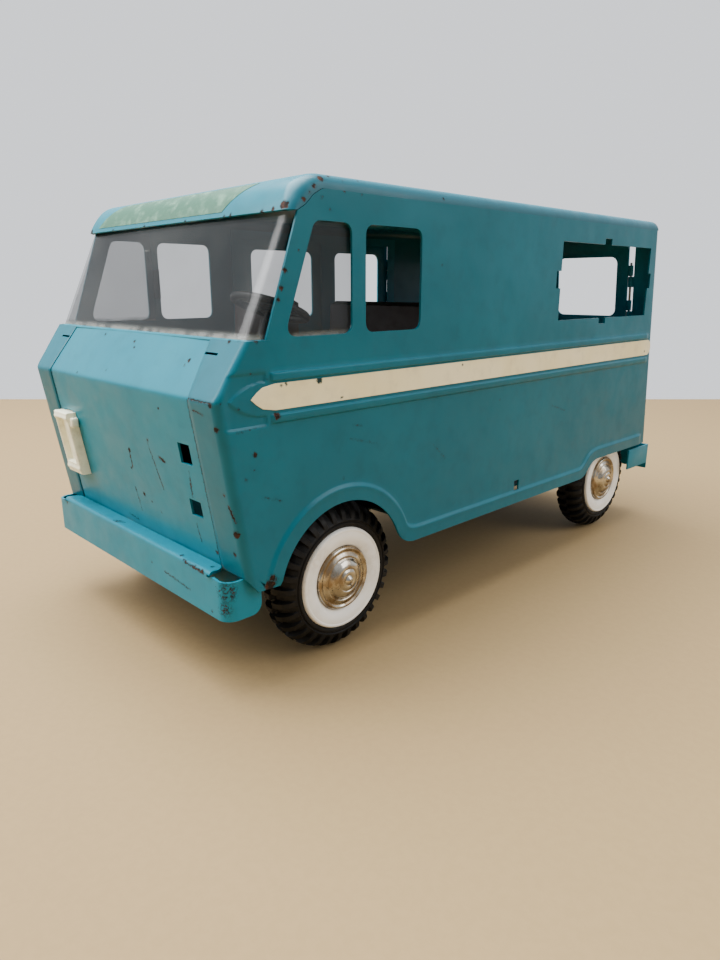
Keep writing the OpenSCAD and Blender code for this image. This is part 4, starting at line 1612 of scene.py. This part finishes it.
@dataclass
class FrontBumper:
    """Pressed channel across the nose, with a folded top and rounded ends that wrap back."""

    half_w: float = 71.2
    face_y: float = -44.6
    low_z: float = 31.0
    high_z: float = 47.4
    bend_r: float = 1.4
    corner_r: float = 5.0
    back_y: float = -30.0
    flange_half: float = 61.5
    flange_y: float = -37.8
    web_y: Point2 = (-34.2, -33.4)
    sheet: float = 1.0

    def _path(self) -> list[Point2]:
        """Lists the bumper's plan.

        Returns:
            Its points from the right end round the front to the left end, in X and Y.
        """
        r = self.corner_r
        back = [self.back_y - d for d in (0, 0.15, 0.5, 1, 1.8, 2.8, 4, 6, 8)] + [self.face_y + r]
        turn = [(self.half_w - r + r * math.sin(a), self.face_y + r - r * math.cos(a))
                for a in (math.radians(d) for d in spaced(82, 8, 8))]
        end = [(self.half_w, y) for y in back] + turn
        face = spaced(self.half_w - r, self.flange_half, 3) + spaced(self.flange_half - 4, 0, 12)
        half = end + [(x, self.face_y) for x in face]
        return [(-x, y) for x, y in half] + [(x, y) for x, y in reversed(half[:-1])]

    def build(self, palette: Palette) -> None:
        """Makes the bumper, its two straps and the web behind it.

        Args:
            palette: Finishes of the toy.
        """
        path = self._path()
        top = self.high_z - self.bend_r
        shares = [*spaced(0, 0.3, 6), *spaced(0.4, 1, 6)]

        def face(u: float, t: float) -> Vector:
            """Puts a point of the grid on the face.

            Args:
                u: Station of the path.
                t: Share of the height.

            Returns:
                The frame point.
            """
            x, y = path[int(u)]
            past = min(4.0, max(0.0, y - (self.back_y - 4)))
            lift = 4.0 - math.sqrt(16 - past ** 2)
            droop = 0.0 if abs(x) <= self.flange_half else 0.5 * ease((abs(x) - self.flange_half) / 6)
            return at(x, y, mix(self.low_z + lift, top - droop, t))

        bm = station_grid(range(len(path)), shares, face)
        flange = [p[0] for p in path if abs(p[0]) <= self.flange_half and p[1] == self.face_y]
        bends = [math.radians(a) for a in spaced(0, 90, 6)]

        def fold(x: float, v: float) -> Vector:
            """Puts a point of the grid on the top fold.

            Args:
                x: Place across.
                v: Station over the fold.

            Returns:
                The frame point.
            """
            r = self.bend_r
            if v < len(bends):
                a = bends[int(v)]
                return at(x, self.face_y + r - r * math.cos(a), top + r * math.sin(a))
            near = max(0.0, abs(x) - self.flange_half + 4.0)
            back = self.flange_y - (4.0 - math.sqrt(max(0.0, 16 - near ** 2))) * 0.9
            return at(x, mix(self.face_y + r, back, (v - len(bends) + 1) / 3), self.high_z - 0.05 * (v - 6))

        xs = sorted({*flange, *[s * (self.flange_half - d) for s in (-1, 1) for d in (0.4, 1.0, 2.0, 3.0)]})
        top_bm = station_grid(xs, range(len(bends) + 3), fold)
        join(bm, top_bm)
        weld(bm)
        thicken(bm, self.sheet)
        for side in Side:
            x0, x1 = sorted((22 * side.value, 38 * side.value))
            block(bm, (x0, self.face_y + 0.5, 45.0), (x1, -33.0, 45.9))
        half = self.half_w - 1.5
        block(bm, (-half, self.web_y[0], self.low_z + 1.5), (half, self.web_y[1], 45.0))
        show(bm, "front_bumper_channel", palette.bumper, Body.SHELL.value, "body_paint", ["front_bumper"])


@dataclass
class DoorStops:
    """Thin inner strips that the closed doors rest on, so that no light shows round them."""

    side_x: float = -72.2
    side_y: tuple[float, ...] = (64.0, 127.3, 184.6)
    rear_low: float = -120.5
    rear_high: float = -10.8

    def build(self, palette: Palette) -> None:
        """Makes the strips of the side doorway and, leaning with it, those of the rear doorway.

        Args:
            palette: Finishes of the toy.
        """
        bm = bmesh.new()
        for y in self.side_y:
            block(bm, (self.side_x, y - 3.2, 48.2), (self.side_x + 0.6, y + 3.2, 171.0))
        for z0, z1 in ((166.6, 171.0), (48.2, 50.6)):
            block(bm, (self.side_x + 0.1, 60.9, z0), (self.side_x + 0.7, 187.7, z1))
        rear = bmesh.new()
        for z0, z1 in ((self.rear_high - 3.4, self.rear_high), (self.rear_low, self.rear_low + 3.0)):
            block(rear, (-58.0, -2.3, z0), (58.0, -1.7, z1))
        block(rear, (-2.2, -2.3, self.rear_low), (2.2, -1.7, self.rear_high))
        shift = at(0, ROOF_LENGTH, REAR.top_z)
        bmesh.ops.translate(rear, verts=rear.verts[:], vec=-at(0, 0, 0))
        lean = Matrix.Translation(shift) @ Matrix.Rotation(math.radians(REAR.lean), 4, "X")
        bmesh.ops.transform(rear, verts=rear.verts[:], matrix=lean)
        join(bm, rear)
        show(bm, "door_stops", palette.body, Body.SHELL.value, "body_paint")


# ---------------------------------------------------------------- wheels


@dataclass
class ToeBoard:
    """Folded sheet behind the nose that keeps daylight out of the lamp sockets."""

    half_w: float = 66.0
    sheet: float = 0.8
    fold_r: float = 2.0
    line: tuple[Point2, ...] = ((-24.0, 61.0), (-31.0, 65.0), (-31.0, 98.0), (-25.0, 101.0))

    def build(self, palette: Palette) -> None:
        """Makes the board with soft folds at its top and bottom.

        Args:
            palette: Finishes of the toy.
        """
        steps = 5
        folds = rounded(self.line, self.fold_r, steps)[steps + 1:3 * (steps + 1)]
        line = [self.line[0], *folds, self.line[-1]]
        bm = station_grid(spaced(-1, 1, 24), range(len(line)),
                          lambda u, v: at(u * self.half_w, *line[int(v)]))
        thicken(bm, self.sheet)
        # The dark floor enamel stands in for the shade behind the nose: painted shade.
        show(bm, "toe_board", palette.inner, Body.SHELL.value, "floor_paint")


@dataclass
class Wheel:
    """One wheel: lugged tyre, pale side wall and plated hub cap."""

    corner: str
    side: Side
    axle_y: float
    radius: float = 30.4
    inner_x: float = 53.0
    lugs: int = 32

    LUG_SHARES = (0.0, 0.06, 0.44, 0.5, 0.56, 0.94)
    # width across, radius in the gaps, how far a lug stands up, and which row of lugs
    TREAD = (
        (2.0, 2.05, 0, 0), (2.0, 18.7, 0, 0), (0.8, 19.7, 0, 0), (0.1, 23.6, 0, 0), (0.2, 24.6, 0.5, 1),
        (0.6, 25.6, 2.2, 1), (1.8, 26.8, 2.4, 1), (4.0, 27.7, 2.5, 1), (7.0, 27.9, 2.5, 1),
        (7.3, 27.9, 0.9, 1), (7.7, 27.9, 0.9, 2), (8.0, 27.9, 2.5, 2), (10.2, 27.6, 2.4, 2),
        (12.2, 26.6, 2.4, 2), (13.6, 25.3, 2.3, 2), (14.5, 24.2, 1.6, 2), (14.8, 23.9, 0.4, 2),
        (15.0, 23.5, 0, 0), (14.6, 23.2, 0, 0), (14.6, 22.8, 0, 0), (15.05, 22.5, 0, 0), (15.15, 21.9, 0, 0),
        (15.0, 21.2, 0, 0), (14.6, 20.75, 0, 0), (9.0, 20.75, 0, 0), (6.0, 18.7, 0, 0), (6.0, 2.05, 0, 0),
        (2.0, 2.05, 0, 0),
    )
    WALL = (
        (6.1, 2.05), (8.1, 18.6), (9.2, 20.65), (14.6, 20.65), (15.3, 20.5), (15.8, 20.1), (15.95, 19.5),
        (15.75, 19.1), (15.8, 18.7), (15.95, 17.5), (15.8, 16.2), (15.4, 14.9), (14.9, 13.9), (14.7, 13.5),
        (14.2, 13.2), (13.8, 12.6), (13.8, 2.05), (6.1, 2.05),
    )
    CAP = (
        (13.9, 0.0), (13.9, 12.9), (14.6, 13.1), (15.3, 13.0), (15.9, 12.6), (16.1, 12.1), (16.0, 11.7),
        (15.6, 11.3), (15.5, 11.0), (15.7, 10.6), (16.3, 9.6), (16.5, 9.2), (16.45, 8.9), (16.2, 8.7),
        (16.25, 8.4), (16.9, 8.0), (17.7, 7.1), (18.3, 6.0), (18.55, 5.1), (18.5, 4.8), (18.3, 4.55),
        (18.4, 4.3), (18.8, 3.8), (19.0, 3.0), (18.95, 2.4), (18.8, 2.0), (19.1, 1.7), (19.7, 1.2),
        (19.95, 0.6), (20.0, 0.0),
    )

    def _spin(self, stations: Sequence[float], profile: Sequence[tuple], lugged: bool) -> bmesh.types.BMesh:
        """Turns a profile about the axle.

        Args:
            stations: Turns, from 0 to 1, of the columns.
            profile: Rows of the section, as (width, radius) or the rows of TREAD.
            lugged: Whether the rows carry lugs.

        Returns:
            The turned shape.
        """

        def place(turn: float, v: float) -> Vector:
            """Puts a point of the profile at its place round the axle.

            Args:
                turn: Share of a full turn.
                v: Row of the profile.

            Returns:
                The frame point.
            """
            row = profile[int(v)]
            width, radius = row[0], row[1]
            if lugged and row[3]:
                share = (turn * self.lugs) % 1.0
                up = share if row[3] == 1 else (share + 0.5) % 1.0
                rise = ease(up / 0.06) * (1 - ease((up - 0.44) / 0.06))
                radius = min(self.radius, radius + row[2] * rise)
            angle = 2 * math.pi * turn
            spot = at(self.inner_x + width, self.axle_y, self.radius)
            return spot + Vector((0, radius * math.cos(angle), radius * math.sin(angle))) * MM

        bm = station_grid(stations, range(len(profile)), place)
        weld(bm)
        if self.side is Side.RIGHT:
            flip_x(bm)
        return bm

    def build(self, palette: Palette) -> None:
        """Makes the three pieces of the wheel.

        Args:
            palette: Finishes of the toy.
        """
        body = f"{self.corner}_wheel"
        steps = [(n + s) / self.lugs for n in range(self.lugs) for s in self.LUG_SHARES] + [1.0]
        even = spaced(0, 1, 96)
        tyre = self._spin(steps, self.TREAD, True)
        show(tyre, f"{self.corner}_tyre_lugged", palette.rubber, body, "tyre_rubber", [f"{self.corner}_tyre"])
        wall = self._spin(even, [(*p, 0, 0) for p in self.WALL], False)
        show(wall, f"{self.corner}_side_wall", palette.whitewall, body, "whitewall_plastic",
             [f"{self.corner}_whitewall"])
        cap = self._spin(even, [(*p, 0, 0) for p in self.CAP], False)
        show(cap, f"{self.corner}_cap_plated", palette.plate, body, "hub_cap_metal",
             [f"{self.corner}_hub_cap"], math.radians(50))


# ---------------------------------------------------------------- pieces that keep their CAD shape


@dataclass
class Fitting:
    """A piece whose CAD shape is right, shown as a copy with softened edges."""

    node: str
    finish: str
    slot: str
    body: Body = Body.SHELL
    bevel: float = 0.2
    segments: int = 2

    def build(self, palette: Palette) -> None:
        """Makes the refined copy.

        Args:
            palette: Finishes of the toy.
        """
        bm = refined_copy(self.node, self.bevel, self.segments)
        finish = getattr(palette, self.finish)
        show(bm, f"{self.node}_finished", finish, self.body.value, self.slot, [self.node])


FITTINGS = (
    Fitting("rear_wall", "body", "body_paint"),
    Fitting("rear_bumper", "body", "body_paint", bevel=0.45, segments=3),
    Fitting("side_front_door", "body", "body_paint", Body.SIDE_FRONT_DOOR),
    Fitting("side_rear_door", "body", "body_paint", Body.SIDE_REAR_DOOR),
    Fitting("rear_left_door", "body", "body_paint", Body.REAR_LEFT_DOOR),
    Fitting("rear_right_door", "body", "body_paint", Body.REAR_RIGHT_DOOR),
    Fitting("side_hinge_pins", "steel", "bare_steel", bevel=0.15),
    Fitting("rear_hinge_pins", "steel", "bare_steel", bevel=0.15),
    Fitting("glazing_clips", "black", "black_plastic"),
    Fitting("floor_pan", "inner", "floor_paint"),
    Fitting("front_axle_brackets", "steel", "bare_steel"),
    Fitting("rear_axle_brackets", "steel", "bare_steel"),
    Fitting("bracket_rivets", "steel", "bare_steel", bevel=0.35, segments=3),
    Fitting("front_axle_rod", "steel", "bare_steel"),
    Fitting("rear_axle_rod", "steel", "bare_steel"),
    Fitting("driver_seat", "seat", "seat_plastic", bevel=2.2, segments=5),
    Fitting("passenger_seat", "seat", "seat_plastic", bevel=2.2, segments=5),
    Fitting("steering_column", "black", "black_plastic"),
    Fitting("steering_wheel", "black", "black_plastic", Body.STEERING_WHEEL, 0.25),
)


# ---------------------------------------------------------------- studio


@dataclass(frozen=True)
class Softbox:
    """Square area light: its place and aim in the frame in metres, its size and its power in watts."""

    name: str
    place: Point3
    aim: Point3
    size: float
    power: float

    def build(self) -> None:
        """Adds the light, pointed at its aim."""
        data = bpy.data.lights.new(self.name, "AREA")
        data.size = self.size
        data.energy = self.power
        lamp = bpy.data.objects.new(self.name, data)
        lamp.location = self.place
        lamp.rotation_euler = (Vector(self.aim) - Vector(self.place)).to_track_quat("-Z", "Y").to_euler()
        bpy.context.scene.collection.objects.link(lamp)


SOFTBOXES = (
    Softbox("overhead_softbox", (-0.24, -0.16, 1.22), (0.05, 0.0, 0.08), 1.0, 47.0),
    Softbox("rear_side_softbox", (1.00, 0.60, 0.85), (0.07, 0.12, 0.10), 0.9, 9.0),
    Softbox("front_softbox", (-0.70, -0.95, 0.95), (0.0, -0.1, 0.08), 0.9, 17.0),
)


@dataclass
class Studio:
    """Floor, light and camera round the toy."""

    eye: Point3 = (0.25534, -0.27049, 0.14170)
    tilt: float = 74.38
    heading: float = 45.95
    focal: float = 25.91
    floor_half: float = 3.0
    floor_edge: float = 0.90
    sensor: float = 36.0
    sky_strength: float = 1.45
    dim_way: Point3 = (0.62, -0.60, -0.50)
    dim_share: float = 0.36

    def build(self, palette: Palette) -> None:
        """Makes the floor, the lights and the camera.

        Args:
            palette: Finishes of the toy.
        """
        self._floor(palette)
        self._world()
        for softbox in SOFTBOXES:
            softbox.build()
        self._camera()

    def _floor(self, palette: Palette) -> None:
        """Makes the floor sheet, which ends in a straight edge behind the toy.

        Args:
            palette: Finishes of the toy.
        """
        bm = bmesh.new()
        bmesh.ops.create_grid(bm, x_segments=8, y_segments=8, size=self.floor_half)
        bmesh.ops.translate(bm, verts=bm.verts[:], vec=Vector((0, self.floor_edge - self.floor_half, 0)))
        bmesh.ops.rotate(bm, verts=bm.verts[:], matrix=Matrix.Rotation(math.radians(self.heading), 3, "Z"))
        bmesh.ops.translate(bm, verts=bm.verts[:], vec=Vector((self.eye[0], self.eye[1], 0)))
        mesh = bpy.data.meshes.new("studio_floor")
        bm.to_mesh(mesh)
        bm.free()
        mesh.materials.append(palette.floor)
        floor = bpy.data.objects.new("studio_floor", mesh)
        bpy.context.scene.collection.objects.link(floor)

    def _world(self) -> None:
        """Makes a pale sky that is dimmer behind the camera."""
        world = bpy.data.worlds.new("studio_sky")
        bpy.context.scene.world = world
        world.use_nodes = True
        tree = world.node_tree
        way = add(tree, "ShaderNodeTexCoord").outputs["Generated"]
        facing = add(tree, "ShaderNodeVectorMath", {0: way, 1: self.dim_way}, operation="DOT_PRODUCT")
        shade = add(
            tree, "ShaderNodeMapRange",
            {"Value": facing.outputs["Value"], 1: -0.7, 2: 0.6, 3: 1.0, 4: self.dim_share},
        )
        colour = add(
            tree, "ShaderNodeMix",
            {MIX_FACTOR: shade.outputs[0], MIX_A: linear("#1A1C1E"), MIX_B: linear("#E6E9EE")},
            data_type="RGBA",
        )
        background = tree.nodes["Background"]
        tree.links.new(colour.outputs[MIX_COLOUR], background.inputs["Color"])
        background.inputs["Strength"].default_value = self.sky_strength

    def _camera(self) -> None:
        """Adds the camera."""
        data = bpy.data.cameras.new("studio_camera")
        data.lens = self.focal
        data.sensor_width = self.sensor
        data.clip_start = 0.01
        camera = bpy.data.objects.new("studio_camera", data)
        camera.location = self.eye
        camera.rotation_euler = (math.radians(self.tilt), 0.0, math.radians(self.heading))
        bpy.context.scene.collection.objects.link(camera)
        bpy.context.scene.camera = camera


def main() -> None:
    """Builds the toy in order and reports each piece."""
    logging.basicConfig(level=logging.INFO, format="%(name)s: %(message)s")
    palette = Palette()
    Studio().build(palette)
    for side in Side:
        SideSkin(side).build(palette)
    roof = RoofSkin()
    roof.build(palette)
    roof.build_label(palette)
    FrontSkin().build(palette)
    Windshield().build(palette)
    for node in ("side_stripe_left", "side_stripe_right"):
        Stripe(node).build(palette)
    LampSurround().build(palette)
    FrontBumper().build(palette)
    DoorStops().build(palette)
    ToeBoard().build(palette)
    for corner, side, axle_y in (("front_left", Side.LEFT, 11.7), ("front_right", Side.RIGHT, 11.7),
                                 ("rear_left", Side.LEFT, 224.6), ("rear_right", Side.RIGHT, 224.6)):
        Wheel(corner, side, axle_y).build(palette)
    for fitting in FITTINGS:
        fitting.build(palette)


if __name__ == "__main__":
    main()
